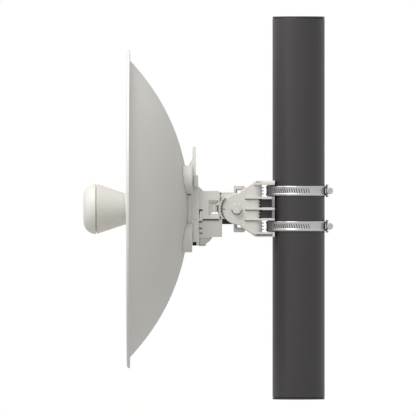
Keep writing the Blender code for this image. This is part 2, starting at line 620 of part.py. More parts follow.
def make_bracket():
    """One casting: cheeks, toothed wall, ribs, end plates, posts and the band's bearing blocks."""
    channel = extruded(channel_outline(), "Z", BRACKET_FOOT_Z - 1.0 * MM, BRACKET_TOP_Z + 1.0 * MM)
    bracket = make_object("pole_bracket", channel, PALE_PLASTIC)
    side_view = make_object("bracket_side_view", extruded(cheek_outline(), "Y", -40.0 * MM, 40.0 * MM))
    combine(bracket, "INTERSECT", [side_view])

    tools = []
    plate_left = BRACKET_WALL_LEFT_X + 1.0 * MM
    width = CHEEK_OUTER_Y - 0.1 * MM
    for name, z_range in (("bracket_top_plate", (TOP_PLATE_Z, BRACKET_TOP_Z)),
                          ("bracket_foot_plate", (BRACKET_FOOT_Z, FOOT_PLATE_Z))):
        tools.append(make_object(name, box((plate_left, BRACKET_RIGHT_X), (-width, width), z_range)))
    rib_inner_y = CHEEK_INNER_Y + 1.0 * MM
    top_rib_z = TOP_PLATE_Z + 0.1 * MM
    foot_rib_z = FOOT_PLATE_Z - 0.1 * MM
    rib_levels = (*RIB_LEVELS, (top_rib_z, top_rib_z + PLATE_RIB_HEIGHT),
                  (foot_rib_z - PLATE_RIB_HEIGHT, foot_rib_z))
    right = BRACKET_RIGHT_X - 0.1 * MM
    for number, z_range in enumerate(rib_levels):
        left = RIB_LEFT_X if number < len(RIB_LEVELS) else PLATE_RIB_LEFT_X
        outline = [(left, CHEEK_OUTER_Y - 0.5 * MM), (left + RIB_TAPER, RIB_OUTER_Y), (right, RIB_OUTER_Y)]
        outline = outline + mirrored(outline)
        inner = [(left, -rib_inner_y), (plate_left + 2.0 * MM, -rib_inner_y),
                 (plate_left + 2.0 * MM, rib_inner_y), (left, rib_inner_y)]
        tools.append(make_object("bracket_rib_%d" % number, extruded(outline + inner, "Z", *z_range)))
    for side, name in ((-1.0, "near"), (1.0, "far")):
        span = sorted((side * POST_INNER_Y, side * (RIB_OUTER_Y - 0.1 * MM)))
        z_range = (RIB_LEVELS[2][0] + 0.5 * MM, RIB_LEVELS[0][1] - 0.5 * MM)
        tools.append(make_object("bracket_post_" + name,
                                 box((POST_LEFT_X, BRACKET_RIGHT_X - 0.2 * MM), span, z_range)))
    block_left = BAND_CROSSING_X + BAND_THICK / 2 + GAP
    block_half = arc((block_left + BLOCK_CORNER, BAND_CORNER_Y), BLOCK_CORNER, 180.0, 90.0, 4)
    block_half.append((BRACKET_RIGHT_X - 0.3 * MM, BAND_CORNER_Y + BLOCK_CORNER))
    block_outline = block_half + mirrored(block_half)
    overlap = 0.6 * MM
    for name, z_range in (("bracket_block_upper", (RIB_LEVELS[0][1] - overlap, TOP_PLATE_Z + overlap)),
                          ("bracket_block_lower", (FOOT_PLATE_Z - overlap, RIB_LEVELS[2][0] + overlap))):
        tools.append(make_object(name, extruded(block_outline, "Z", *z_range)))
    tooth_x = (BRACKET_WALL_RIGHT_X - 2.0 * MM, TOOTH_TIP_X)
    for band, level in BAND_LEVELS.items():
        for step in (-1, 0, 1):
            middle = level + step * TOOTH_PITCH
            z_range = (middle - TOOTH_HEIGHT / 2, middle + TOOTH_HEIGHT / 2)
            tooth = box(tooth_x, (-TOOTH_WIDTH, TOOTH_WIDTH), z_range)
            tools.append(make_object("bracket_tooth_%s_%d" % (band, step + 1), tooth))
    combine(bracket, "UNION", tools)

    seat = POLE_RADIUS + GAP
    low, high = BRACKET_FOOT_Z - 10.0 * MM, BRACKET_TOP_Z + 10.0 * MM
    seat_profile = [(low, 0.0), (low, seat), (high, seat), (high, 0.0)]
    seat_cutter = make_object("bracket_seat_cutter", turned(seat_profile, "Z", Vector((0, 0, 0)), POLE_STEPS))
    hole = BOLT_RADIUS + GAP
    reach = 40.0 * MM
    hole_profile = [(-reach, 0.0), (-reach, hole), (reach, hole), (reach, 0.0)]
    pivot_line = Vector((PIVOT_X, 0.0, AXIS_Z))
    hole_cutter = make_object("bracket_hole_cutter", turned(hole_profile, "Y", pivot_line, 24))
    combine(bracket, "DIFFERENCE", [seat_cutter, hole_cutter])

    pad_x = (BRACKET_WALL_RIGHT_X + GAP, POST_LEFT_X - GAP)
    lower_rib, middle_rib, upper_rib = RIB_LEVELS[2], RIB_LEVELS[1], RIB_LEVELS[0]
    for name, foot, top in (("jaw_pad_upper", middle_rib[1], upper_rib[0]),
                            ("jaw_pad_lower", lower_rib[1], middle_rib[0])):
        pad = box(pad_x, (-PAD_WIDTH, PAD_WIDTH), (foot + GAP, top - GAP))
        make_object(name, pad, DARK_RUBBER)


def band_path(offset):
    """The band's loop in plan: round the pole, then across the bracket's bearing block."""
    pole = POLE_RADIUS + GAP + BAND_THICK / 2
    corner_x = BAND_CROSSING_X + BAND_CORNER
    distance = math.hypot(corner_x, BAND_CORNER_Y)
    lean = math.degrees(math.acos((pole - BAND_CORNER) / distance))
    leave = math.degrees(math.atan2(BAND_CORNER_Y, corner_x)) - lean
    half = arc((0.0, 0.0), pole + offset, 0.0, leave, 18)
    half += arc((corner_x, BAND_CORNER_Y), BAND_CORNER + offset, leave, 180.0, 4)
    return half + mirrored(half)[:-1]


def make_clamps():
    """Two worm-drive clamps: perforated band, screw housing and screw each."""
    for level_name, level in BAND_LEVELS.items():
        outer = band_path(BAND_THICK / 2)
        inner = band_path(-BAND_THICK / 2)
        bm = bmesh.new()
        loops = []
        for path in (outer, inner):
            verts = [bm.verts.new((x, y, level - BAND_WIDTH / 2)) for x, y in path]
            loops.append([bm.edges.new((verts[i - 1], verts[i])) for i in range(len(verts))])
        strip = bmesh.ops.bridge_loops(bm, edges=loops[0] + loops[1])
        pushed = bmesh.ops.extrude_face_region(bm, geom=strip["faces"])
        new_verts = [item for item in pushed["geom"] if isinstance(item, bmesh.types.BMVert)]
        bmesh.ops.translate(bm, verts=new_verts, vec=(0.0, 0.0, BAND_WIDTH))
        make_object("clamp_band_" + level_name, bm, STEEL)

        base_left = POLE_RADIUS + 2 * GAP + BAND_THICK
        base = box((base_left, base_left + CLAMP_BASE_THICK), (-CLAMP_BASE_WIDTH, CLAMP_BASE_WIDTH),
                   (level - CLAMP_BASE_HEIGHT, level + CLAMP_BASE_HEIGHT))
        housing = make_object("clamp_housing_" + level_name, base, STEEL)
        screw_line = Vector((SCREW_X, 0.0, level))
        tunnel_profile = [(-TUNNEL_WIDTH, 0.0), (-TUNNEL_WIDTH, TUNNEL_RADIUS),
                          (TUNNEL_WIDTH, TUNNEL_RADIUS), (TUNNEL_WIDTH, 0.0)]
        tunnel = make_object("clamp_tunnel_" + level_name, turned(tunnel_profile, "Y", screw_line, 20))
        combine(housing, "UNION", [tunnel])
        hole = SCREW_RADIUS + GAP
        reach = CLAMP_BASE_WIDTH + 3.0 * MM
        bore_profile = [(-reach, 0.0), (-reach, hole), (reach, hole), (reach, 0.0)]
        bore = make_object("clamp_bore_cutter_" + level_name, turned(bore_profile, "Y", screw_line, 20))
        combine(housing, "DIFFERENCE", [bore])
        seat = -CLAMP_BASE_WIDTH - GAP
        top = seat - SCREW_HEAD_HEIGHT
        screw = [(top, 0.0), (top, SCREW_HEAD_RADIUS - SCREW_HEAD_CHAMFER),
                 (top + SCREW_HEAD_CHAMFER, SCREW_HEAD_RADIUS), (seat, SCREW_HEAD_RADIUS),
                 (seat, SCREW_RADIUS), (SCREW_END_Y, SCREW_RADIUS), (SCREW_END_Y, 0.0)]
        make_object("clamp_screw_" + level_name, turned(screw, "Y", screw_line, 20), STEEL)


def main():
    for obj in list(bpy.data.objects):
        bpy.data.objects.remove(obj)
    pivot = Vector((PIVOT_X, 0.0, AXIS_Z))
    make_pole()
    make_reflector(pivot)
    make_feed(pivot)
    make_hub(pivot)
    make_rear_plate(pivot)
    make_housing(pivot)
    make_outlet()
    make_tilt_arm()
    make_pivot()
    make_bracket()
    make_clamps()


main()
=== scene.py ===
"""Fine shapes and finishes of a small dish antenna on its pole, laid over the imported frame."""
import json
import math

import bmesh
import bpy
from bpy.props import FloatProperty, FloatVectorProperty, IntProperty, PointerProperty
from mathutils import Matrix, Vector


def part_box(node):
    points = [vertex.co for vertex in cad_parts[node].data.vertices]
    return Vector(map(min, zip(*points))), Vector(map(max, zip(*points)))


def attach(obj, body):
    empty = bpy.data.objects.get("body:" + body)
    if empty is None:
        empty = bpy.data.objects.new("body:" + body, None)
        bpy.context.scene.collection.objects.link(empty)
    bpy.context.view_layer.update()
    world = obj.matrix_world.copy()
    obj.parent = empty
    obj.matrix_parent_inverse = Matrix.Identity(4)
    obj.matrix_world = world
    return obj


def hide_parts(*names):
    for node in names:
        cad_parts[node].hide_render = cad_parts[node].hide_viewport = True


bl_info = {
    "name": "Dish Antenna Dresser",
    "version": (1, 0, 0),
    "blender": (4, 5, 0),
    "location": "3D View > Sidebar > Dish",
    "description": "Builds the fine shapes and finishes of a pole-mounted dish antenna",
    "category": "Object",
}

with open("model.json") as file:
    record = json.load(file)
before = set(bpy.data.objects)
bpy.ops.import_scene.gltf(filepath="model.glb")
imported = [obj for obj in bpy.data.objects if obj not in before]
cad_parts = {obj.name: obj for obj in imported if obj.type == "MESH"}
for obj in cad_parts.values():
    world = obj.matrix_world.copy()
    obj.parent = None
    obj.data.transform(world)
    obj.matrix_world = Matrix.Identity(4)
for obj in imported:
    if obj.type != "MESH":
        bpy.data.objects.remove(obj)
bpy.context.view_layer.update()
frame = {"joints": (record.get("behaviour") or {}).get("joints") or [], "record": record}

MM = 0.001
GAP = 0.3 * MM
OFF_STEP = math.radians(1.3)


def low_of(node):
    return Vector(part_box(node)[0])


def high_of(node):
    return Vector(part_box(node)[1])


# Bodies and places that come from the frame
BODIES = frame["record"]["behaviour"]["bodies"]
PIVOT = Vector(frame["joints"][1]["pos_m"])
ORIGIN = Vector((0.0, 0.0, 0.0))
AXIS_Z = (low_of("reflector").z + high_of("reflector").z) / 2
POLE_RADIUS = high_of("pole_tube").x
POLE_HEIGHT = high_of("pole_top_plug").z
DISH_MIDDLE = Vector((0.0, 0.0, AXIS_Z))
DISH_RADIUS = high_of("reflector").y
RIM_FRONT_X = low_of("reflector").x
FEED_FRONT_X = low_of("feed_cap").x
FEED_SEAM_X = high_of("feed_cap").x
FEED_RADIUS = high_of("feed_cap").y
NECK_X = low_of("feed_neck").x
NECK_RADIUS = high_of("feed_neck").y
HUB_BACK_X = high_of("hub_plate").x
PLATE_LOW, PLATE_HIGH = low_of("rear_plate"), high_of("rear_plate")
HOUSING_LOW, HOUSING_HIGH = low_of("housing_block"), high_of("housing_block")
COVER_LOW, COVER_HIGH = low_of("port_cover"), high_of("port_cover")
OUTLET_LOW, OUTLET_HIGH = low_of("cable_outlet"), high_of("cable_outlet")
ARM_LOW, ARM_HIGH = low_of("tilt_arm"), high_of("tilt_arm")
BRACKET_LOW, BRACKET_HIGH = low_of("pole_bracket"), high_of("pole_bracket")

# Reflector: the back surface is x = apex - bow * r^2 - flare * r^4
DISH_APEX_X = -144.1 * MM
DISH_BOW = 1.6947
DISH_FLARE = 8.987
DISH_SHEET = 1.8 * MM
DISH_SHELL_RADIUS = 196.8 * MM
RIM_THICK = 4.0 * MM
RIM_ROUND = 3.4 * MM

# Pole
POLE_WALL = 3.0 * MM
PLUG_LIP = 2.2 * MM
PLUG_SPIGOT = 16.0 * MM

# Feed
CAP_ROUND = 17.0 * MM
SEAM_DEPTH = 2.5 * MM
SEAM_WIDTH = 1.0 * MM
CONE_END_X = -231.6 * MM
CONE_END_RADIUS = 21.6 * MM
COLLAR_RADIUS = 31.0 * MM
COLLAR_DEPTH = 8.0 * MM

# Hub
HUB_FRONT_X = -162.0 * MM
HUB_REACH = 72.0 * MM
LOBE_RADIUS = 18.9 * MM
LOBE_Y = 35.9 * MM
LOBE_Z = 38.2 * MM
HUB_WAIST_WIDTH = 33.0 * MM
SEAL_RIGHT_X = -134.3 * MM
SEAL_TOP_Z = 207.6 * MM
SEAL_WIDTH = 24.0 * MM
PLATE_WIDTH = 33.0 * MM

# Windowed housing
WINDOW_OUTER = (-119.1 * MM, -105.9 * MM, 241.1 * MM, 262.6 * MM)
WINDOW_INNER = (-114.9 * MM, -106.4 * MM, 244.3 * MM, 258.4 * MM)
WINDOW_BEVEL = 5.0 * MM
SHOULDER_X = -125.8 * MM
SHOULDER_Z = 274.9 * MM
HOUSING_FOOT_Z = 237.7 * MM
HOUSING_STEP_X = -127.2 * MM
LATCH_WIDTH = 27.0 * MM
# Half width of the dark sheet whose colour paints the shade in the gap between housing and cover
PAINTED_SHADE_SHEET_WIDTH = 29.4 * MM
OUTLET_X = -127.3 * MM
OUTLET_BORE = 4.2 * MM
OUTLET_CURVE = 1.33

# Tilt arm
ARM_WIDTH = 15.0 * MM
ARM_CREST_Z = 273.3 * MM
YOKE_LEFT_X = -85.6 * MM
YOKE_RIGHT_X = -69.9 * MM
YOKE_HALF_HEIGHT = 30.8 * MM
YOKE_WIDTH = 16.0 * MM
DISC_RADIUS = 19.3 * MM
RING_ROOT = 17.5 * MM
DISC_OUTER_Y = 20.4 * MM
DISC_INNER_Y = 15.3 * MM
BARREL_RADIUS = 12.0 * MM
RING_INNER = 20.9 * MM
RING_OUTER = 23.6 * MM
RING_FACE_Y = 29.9 * MM
RING_REACH = math.radians(39.0)
RING_FOOT = 13.0 * MM
BOLT_RADIUS = 4.0 * MM
BOLT_HEAD_RADIUS = 6.7 * MM
BOLT_HEAD_HEIGHT = 5.3 * MM
BOLT_THREAD_PITCH = 1.25 * MM
WASHER_RADIUS = 8.4 * MM
WASHER_THICK = 1.6 * MM
NUT_HEIGHT = 6.5 * MM
BOLT_RECESS = 1.0 * MM
BOLT_RECESS_DROP = 1.3 * MM

# Pole bracket
CHEEK_OUTER_Y = 26.0 * MM
CHEEK_INNER_Y = 21.0 * MM
RIB_OUTER_Y = 28.4 * MM
WALL_LEFT_X = -56.5 * MM
WALL_RIGHT_X = -48.4 * MM
WALL_ROUND = 10.0 * MM
BRACKET_RIGHT_X = -31.4 * MM
TOP_PLATE_Z = 283.0 * MM
FOOT_PLATE_Z = 220.4 * MM
RIB_LEFT_X = -71.2 * MM
RIB_LEVELS = ((264.3 * MM, 267.1 * MM), (249.9 * MM, 252.5 * MM), (235.9 * MM, 238.4 * MM))
CELLS = ((RIB_LEVELS[1][1], RIB_LEVELS[0][0], 0.9 * MM), (RIB_LEVELS[2][1], RIB_LEVELS[1][0], 0.2 * MM))
RIB_GROOVE = 1.2 * MM
POST_LEFT_X = -34.6 * MM
POST_INNER_Y = 15.6 * MM
POST_OUTER_Y = 19.5 * MM
TOOTH_PITCH = 4.1 * MM
TOOTH_HEIGHT = 1.7 * MM
COMB_HEIGHT = 1.1 * MM
TOOTH_TIP_X = -45.8 * MM
PAD_LEFT_X = -52.4 * MM

# Clamps
BAND_THICK = 0.7 * MM
BAND_CROSSING_X = low_of("clamp_band_upper").x + BAND_THICK / 2
BAND_CORNER = 3.0 * MM
BAND_CORNER_Y = 13.0 * MM
BAND_SLOT_RUN = 15.5 * MM
BAND_PLAIN = math.radians(67.0)
BAND_BLANK = math.radians(17.0)
# Painted shade on the clamp bands: the colour darkens from the clear X to the dark X, at the left end as
# painted shade and at the right edge as a painted dark reflection
PAINTED_SHADE_DARK_X = -36.0 * MM
PAINTED_SHADE_CLEAR_X = -28.5 * MM
PAINTED_REFLECTION_CLEAR_X = 33.6 * MM
PAINTED_REFLECTION_DARK_X = 34.8 * MM
SCREW_X = 41.0 * MM
SCREW_HEAD_RADIUS = 4.2 * MM
SCREW_RADIUS = 3.0 * MM
THREAD_PITCH = 1.8 * MM
THREAD_DEPTH = 0.6 * MM
SADDLE_WIDTH = 9.0 * MM
SLOT_LEAN = math.radians(15.0)
SLOT_HALF_WIDTH = 0.58 * MM
SLOT_HALF_HEIGHT = 3.1 * MM


# Stage
FLOOR_RADIUS = 3.5
LIGHT_AIM = Vector((-0.09, 0.0, AXIS_Z))
CAMERA_X = -0.1194
CAMERA_Z = 0.2522


# Settings that a user would change

class DishShapeSettings(bpy.types.PropertyGroup):
    """Roundings and counts of the fine shapes."""
    edge: FloatProperty(name="Moulded edge", description="Rounding of the moulded parts' edges",
                        default=0.9 * MM, min=0.1 * MM, max=3.0 * MM, unit="LENGTH")
    thin_edge: FloatProperty(name="Thin edge", description="Rounding of thin ribs and small parts",
                             default=0.5 * MM, min=0.05 * MM, max=2.0 * MM, unit="LENGTH")
    cast_edge: FloatProperty(name="Cheek edge", description="Chamfer of the bracket's cheeks",
                             default=1.45 * MM, min=0.2 * MM, max=3.0 * MM, unit="LENGTH")
    hub_edge: FloatProperty(name="Hub edge", description="Rounding of the hub's back edges",
                            default=1.6 * MM, min=0.5 * MM, max=6.0 * MM, unit="LENGTH")
    dish_steps: IntProperty(name="Dish steps", description="Faces round the reflector",
                            default=192, min=24, max=512)
    round_steps: IntProperty(name="Round steps", description="Faces round the pole and the feed",
                             default=128, min=16, max=256)
    slot_pitch: FloatProperty(name="Slot pitch", description="Distance from slot to slot on a clamp band",
                              default=3.2 * MM, min=2.0 * MM, max=6.0 * MM, unit="LENGTH")
    tick_step: FloatProperty(name="Tick step", description="Angle from tick to tick on the tilt scale",
                             default=math.radians(5.0), min=math.radians(1.0), max=math.radians(15.0),
                             unit="ROTATION")


class DishFinishSettings(bpy.types.PropertyGroup):
    """Colours of the finishes."""
    pale: FloatVectorProperty(name="Pale plastic", description="Light warm grey moulded plastic",
                              default=(0.66, 0.645, 0.60), size=3, min=0.0, max=1.0, subtype="COLOR")
    white: FloatVectorProperty(name="White plastic", description="Warm white moulded plastic",
                               default=(0.86, 0.845, 0.80), size=3, min=0.0, max=1.0, subtype="COLOR")
    sheet: FloatVectorProperty(name="Painted sheet", description="Powder coat on the reflector",
                               default=(0.64, 0.625, 0.585), size=3, min=0.0, max=1.0, subtype="COLOR")
    # This dark colour is real rubber on the plugs and grommet, and painted shade on the jaw pads, seal,
    # liner, latch strip and wall teeth
    rubber: FloatVectorProperty(name="Dark rubber", description="Pads, seal and plugs",
                                default=(0.030, 0.027, 0.029), size=3, min=0.0, max=1.0, subtype="COLOR")
    steel: FloatVectorProperty(name="Stainless steel", description="Bright steel of the clamp bands",
                               default=(0.66, 0.66, 0.67), size=3, min=0.0, max=1.0, subtype="COLOR")
    zinc: FloatVectorProperty(name="Zinc plate", description="Plated steel of screws and bolt",
                              default=(0.66, 0.655, 0.64), size=3, min=0.0, max=1.0, subtype="COLOR")
    flake: FloatVectorProperty(name="Flake coat", description="Pale dull coat on the tilt bolt",
                               default=(0.70, 0.69, 0.66), size=3, min=0.0, max=1.0, subtype="COLOR")
    pole: FloatVectorProperty(name="Pole paint", description="Dark grey satin paint",
                              default=(0.040, 0.036, 0.039), size=3, min=0.0, max=1.0, subtype="COLOR")


class DishStageSettings(bpy.types.PropertyGroup):
    """Light, floor and camera."""
    ambient: FloatProperty(name="Ambient", description="Brightness of the white surroundings",
                           default=0.74, min=0.0, max=2.0)
    below: FloatProperty(name="Below", description="Brightness that the floor sends up",
                         default=0.63, min=0.0, max=2.0)
    key_power: FloatProperty(name="Key light", description="Power of the upper left softbox",
                             default=29.0, min=0.0, max=500.0, unit="POWER")
    strip_power: FloatProperty(name="Strip light", description="Power of the upright strip on the left",
                               default=1.5, min=0.0, max=500.0, unit="POWER")
    distance: FloatProperty(name="Camera distance", description="From the pole to the camera",
                            default=20.0, min=1.0, max=25.0, unit="LENGTH")
    frame_width: FloatProperty(name="Frame width", description="What the frame spans at the pole",
                               default=0.5483, min=0.1, max=5.0, unit="LENGTH")


# Shapes

def arc(centre, radius, start, end, steps):
    """Points on a circle, with angles in degrees."""
    points = []
    for step in range(steps + 1):
        angle = math.radians(start + (end - start) * step / steps)
        points.append((centre[0] + radius * math.cos(angle), centre[1] + radius * math.sin(angle)))
    return points


def rounded(corners, steps=4):
    """An outline whose (first, second, radius) corners are arcs where the radius isn't zero."""
    points = []
    for index, (first, second, radius) in enumerate(corners):
        here = Vector((first, second))
        if radius == 0.0:
            points.append((first, second))
            continue
        back = (Vector(corners[index - 1][:2]) - here).normalized()
        ahead = (Vector(corners[(index + 1) % len(corners)][:2]) - here).normalized()
        half = back.angle(ahead) / 2
        centre = here + (back + ahead).normalized() * (radius / math.sin(half))
        start = here + back * (radius / math.tan(half)) - centre
        end = here + ahead * (radius / math.tan(half)) - centre
        first_angle = math.atan2(start.y, start.x)
        sweep = (math.atan2(end.y, end.x) - first_angle + math.pi) % math.tau - math.pi
        for step in range(steps + 1):
            angle = first_angle + sweep * step / steps
            points.append((centre.x + radius * math.cos(angle), centre.y + radius * math.sin(angle)))
    return points


def mirrored(points):
    """The outline's second half: the same points with the second value negated, reversed."""
    return [(first, -second) for first, second in reversed(points)]


def shifted(points, first_offset, second_offset):
    return [(first + first_offset, second + second_offset) for first, second in points]


def turned(profile, axis, centre, steps, phase=0.0):
    """Spin (along, radius) pairs about an axis; a profile off the axis closes into a ring."""
    along = {"X": Vector((1, 0, 0)), "Y": Vector((0, 1, 0)), "Z": Vector((0, 0, 1))}[axis]
    outward = {"X": Vector((0, 0, 1)), "Y": Vector((1, 0, 0)), "Z": Vector((1, 0, 0))}[axis]
    outward = Matrix.Rotation(phase, 3, along) @ outward
    bm = bmesh.new()
    verts = [bm.verts.new(centre + along * level + outward * radius) for level, radius in profile]
    edges = [bm.edges.new(pair) for pair in zip(verts, verts[1:])]
    if profile[0][1] > 0.0:
        edges.append(bm.edges.new((verts[-1], verts[0])))
    bmesh.ops.spin(bm, geom=verts + edges, cent=centre, axis=along, angle=math.tau,
                   steps=steps, use_merge=True, use_duplicate=False)
    bmesh.ops.remove_doubles(bm, verts=bm.verts, dist=0.002 * MM)
    bmesh.ops.recalc_face_normals(bm, faces=bm.faces)
    return bm


def only(geom, *kinds):
    """The parts of a piece of geometry that are of these kinds, in their order."""
    return [item for item in geom if isinstance(item, kinds)]


def rod(axis, low, high, radius, centre, steps, phase=0.0):
    """A plain round bar between two levels along an axis."""
    profile = [(low, 0.0), (low, radius), (high, radius), (high, 0.0)]
    return turned(profile, axis, centre, steps, phase)


def prism(outline, axis, low, high):
    """A flat outline pushed along an axis; its pairs are (x, z) for Y, (x, y) for Z, (y, z) for X."""
    def place(pair, level):
        first, second = pair
        return Vector({"X": (level, first, second), "Y": (first, level, second),
                       "Z": (first, second, level)}[axis])

    bm = bmesh.new()
    face = bm.faces.new([bm.verts.new(place(pair, low)) for pair in outline])
    pushed = bmesh.ops.extrude_face_region(bm, geom=[face])
    moved = only(pushed["geom"], bmesh.types.BMVert)
    bmesh.ops.translate(bm, verts=moved, vec=place((0.0, 0.0), high) - place((0.0, 0.0), low))
    bmesh.ops.recalc_face_normals(bm, faces=bm.faces)
    return bm


def level_in_y(edge):
    """Whether both ends of an edge are as far along Y, as on the outline of a part's side."""
    return abs(edge.verts[0].co.y - edge.verts[1].co.y) < GAP


def runs_along_y(edge):
    return not level_in_y(edge)


def both_sides(near, far):
    """The range between two distances from the middle plane, on the near side and on the far side."""
    return [sorted((side * near, side * far)) for side in (-1.0, 1.0)]


def ease(bm, width, segments=2, picks=None, least=30.0):
    """Round the edges that turn by more than an angle: all, or the ones that a test picks."""
    edges = [edge for edge in bm.edges
             if edge.calc_face_angle(0.0) > math.radians(least) and (picks is None or picks(edge))]
    bmesh.ops.bevel(bm, geom=edges, offset=width, offset_type="OFFSET", affect="EDGES",
                    segments=segments, profile=0.5, material=-1, clamp_overlap=True)
    return bm


def block(x_range, y_range, z_range, edge=0.0, segments=2):
    """A box between two corners with rounded edges."""
    low = Vector((x_range[0], y_range[0], z_range[0]))
    high = Vector((x_range[1], y_range[1], z_range[1]))
    bm = bmesh.new()
    place = Matrix.Translation((low + high) / 2) @ Matrix.Diagonal((*(high - low), 1.0))
    bmesh.ops.create_cube(bm, size=1.0, matrix=place)
    if edge > 0.0:
        ease(bm, edge, segments)
    return bm


def solid(name, bm):
    """An object made from a bmesh, linked to the scene."""
    mesh = bpy.data.meshes.new(name)
    bm.to_mesh(mesh)
    bm.free()
    obj = bpy.data.objects.new(name, mesh)
    bpy.context.scene.collection.objects.link(obj)
    return obj


def settle(obj):
    """Apply an object's modifiers to its mesh."""
    depsgraph = bpy.context.evaluated_depsgraph_get()
    mesh = bpy.data.meshes.new_from_object(obj.evaluated_get(depsgraph))
    obj.modifiers.clear()
    plain = obj.data
    obj.data = mesh
    bpy.data.meshes.remove(plain)


def combine(target, operation, shapes):
    """Union with, cut by or keep only what lies inside each shape, in turn."""
    tools = [solid("shape", shape) for shape in shapes]
    for tool in tools:
        modifier = target.modifiers.new("shape", "BOOLEAN")
        modifier.operation = operation
        modifier.solver = "EXACT"
        modifier.object = tool
    settle(target)
    for tool in tools:
        mesh = tool.data
        bpy.data.objects.remove(tool)
        bpy.data.meshes.remove(mesh)
    return target


def mend(obj):
    """Merge points that a cut left almost together, and close the slits beside them."""
    bm = bmesh.new()
    bm.from_mesh(obj.data)
    bmesh.ops.remove_doubles(bm, verts=bm.verts, dist=0.001 * MM)
    bmesh.ops.holes_fill(bm, edges=[edge for edge in bm.edges if edge.is_boundary], sides=4)
    bm.to_mesh(obj.data)
    bm.free()


def joined(shapes):
    """Several bmeshes put into one, as one cutter or as one piece whose parts don't touch."""
    whole = bmesh.new()
    for shape in shapes:
        mesh = bpy.data.meshes.new("part")
        shape.to_mesh(mesh)
        shape.free()
        whole.from_mesh(mesh)
        bpy.data.meshes.remove(mesh)
    return whole


def coat(obj, material, sharp):
    """Give a piece its one material, and shade it smooth up to an angle."""
    obj.data.materials.clear()
    obj.data.materials.append(material)
    obj.data.shade_smooth()
    obj.data.set_sharp_from_angle(angle=math.radians(sharp))


def carry(obj, node):
    """Let a piece ride with a node's body."""
    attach(obj, next(body for body, members in BODIES.items() if node in members))


def dress(obj, material, node, sharp=32.0):
    """Finish a piece that stands for a node of the frame."""
    coat(obj, material, sharp)
    even = obj.modifiers.new("even_shading", "WEIGHTED_NORMAL")
    even.keep_sharp = True
    carry(obj, node)
    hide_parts(node)


def add_detail(obj, material, carrier, sharp=32.0):
    """Finish a small piece that the frame has no node for; it rides with its carrier node."""
    coat(obj, material, sharp)
    carry(obj, carrier)


# Finishes

class Wire:
    """A socket of a node tree that can be reckoned with."""

    def __init__(self, tree, socket):
        self.tree = tree
        self.socket = socket

    def maths(self, operation, left, right):
        return add_node(self.tree, "ShaderNodeMath", {"operation": operation}, {0: left, 1: right})

    def __add__(self, other):
        return self.maths("ADD", self, other)

    def __radd__(self, other):
        return self.maths("ADD", other, self)

    def __sub__(self, other):
        return self.maths("SUBTRACT", self, other)

    def __rsub__(self, other):
        return self.maths("SUBTRACT", other, self)

    def __mul__(self, other):
        return self.maths("MULTIPLY", self, other)

    def __rmul__(self, other):
        return self.maths("MULTIPLY", other, self)


def add_node(tree, kind, settings, sockets, output=0):
    """A node with its settings and its sockets' values or links; returns one of its outputs."""
    node = tree.nodes.new(kind)
    for key, value in settings.items():
        if key == "stops":
            for element, (position, shade) in zip(node.color_ramp.elements, value):
                element.position = position
                element.color = (shade, shade, shade, 1.0)
        else:
            setattr(node, key, value)
    for key, value in sockets.items():
        if isinstance(value, Wire):
            tree.links.new(value.socket, node.inputs[key])
        else:
            node.inputs[key].default_value = value
    return Wire(tree, node.outputs[output])


class Finish:
    """A material in the making: its tree, its Principled shader and its object coordinates."""

    def __init__(self, name, roughness, metallic=0.0):
        self.material = bpy.data.materials.new(name)
        self.material.use_nodes = True
        self.tree = self.material.node_tree
        self.shader = self.tree.nodes["Principled BSDF"]
        self.shader.inputs["Roughness"].default_value = roughness
        self.shader.inputs["Metallic"].default_value = metallic
        self.place = self.node("ShaderNodeTexCoord", {}, {}, output=3)

    def node(self, kind, settings, sockets, output=0):
        return add_node(self.tree, kind, settings, sockets, output)

    def noise(self, scale, detail=2.0, stretch=None, roughness=0.5):
        """Noise of that many features a metre, stretched along an axis where asked."""
        place = self.place
        if stretch is not None:
            place = self.node("ShaderNodeMapping", {"vector_type": "POINT"},
                              {"Vector": place, "Scale": stretch})
        return self.node("ShaderNodeTexNoise", {},
                         {"Vector": place, "Scale": scale, "Detail": detail, "Roughness": roughness})

    def ramp(self, value, start, end):
        """From 0 at the start to 1 at the end, level beyond them."""
        return self.node("ShaderNodeMapRange", {"clamp": True},
                         {"Value": value, "From Min": start, "From Max": end})

    def blend(self, factor, first, second):
        """A colour between two, by a factor."""
        return self.node("ShaderNodeMix", {"data_type": "RGBA"},
                         {0: factor, 6: (*first, 1.0), 7: (*second, 1.0)}, output=2)

    def feed(self, socket, wire):
        self.tree.links.new(wire.socket, self.shader.inputs[socket])

    def bump(self, height, strength, distance):
        self.feed("Normal", self.node("ShaderNodeBump", {}, {"Height": height, "Strength": strength,
                                                             "Distance": distance}))


def tinted(colour, factor):
    return tuple(min(1.0, channel * factor) for channel in colour)


def moulded_plastic(name, colour, roughness):
    """Moulded plastic: faint flow tones, fine spark-eroded grain, slightly uneven gloss."""
    finish = Finish(name, roughness)
    tone = finish.noise(14.0, detail=3.0)
    finish.feed("Base Color", finish.blend(tone, tinted(colour, 0.955), tinted(colour, 1.04)))
    grain = finish.noise(1500.0, detail=3.0)
    finish.bump(grain, 0.16, 0.06 * MM)
    finish.feed("Roughness", roughness - 0.05 + 0.10 * finish.noise(70.0, detail=4.0))
    finish.shader.inputs["Specular IOR Level"].default_value = 0.42
    return finish.material


def powder_coat(name, colour, roughness):
    """Powder coat on sheet metal: orange peel, fine grain and a slight change of tone."""
    finish = Finish(name, roughness)
    tone = finish.noise(9.0, detail=3.0)
    finish.feed("Base Color", finish.blend(tone, tinted(colour, 0.96), tinted(colour, 1.035)))
    peel = finish.noise(420.0, detail=2.0) + 0.35 * finish.noise(1600.0, detail=2.0)
    finish.bump(peel, 0.14, 0.12 * MM)
    finish.feed("Roughness", roughness - 0.04 + 0.08 * finish.noise(120.0, detail=3.0))
    return finish.material


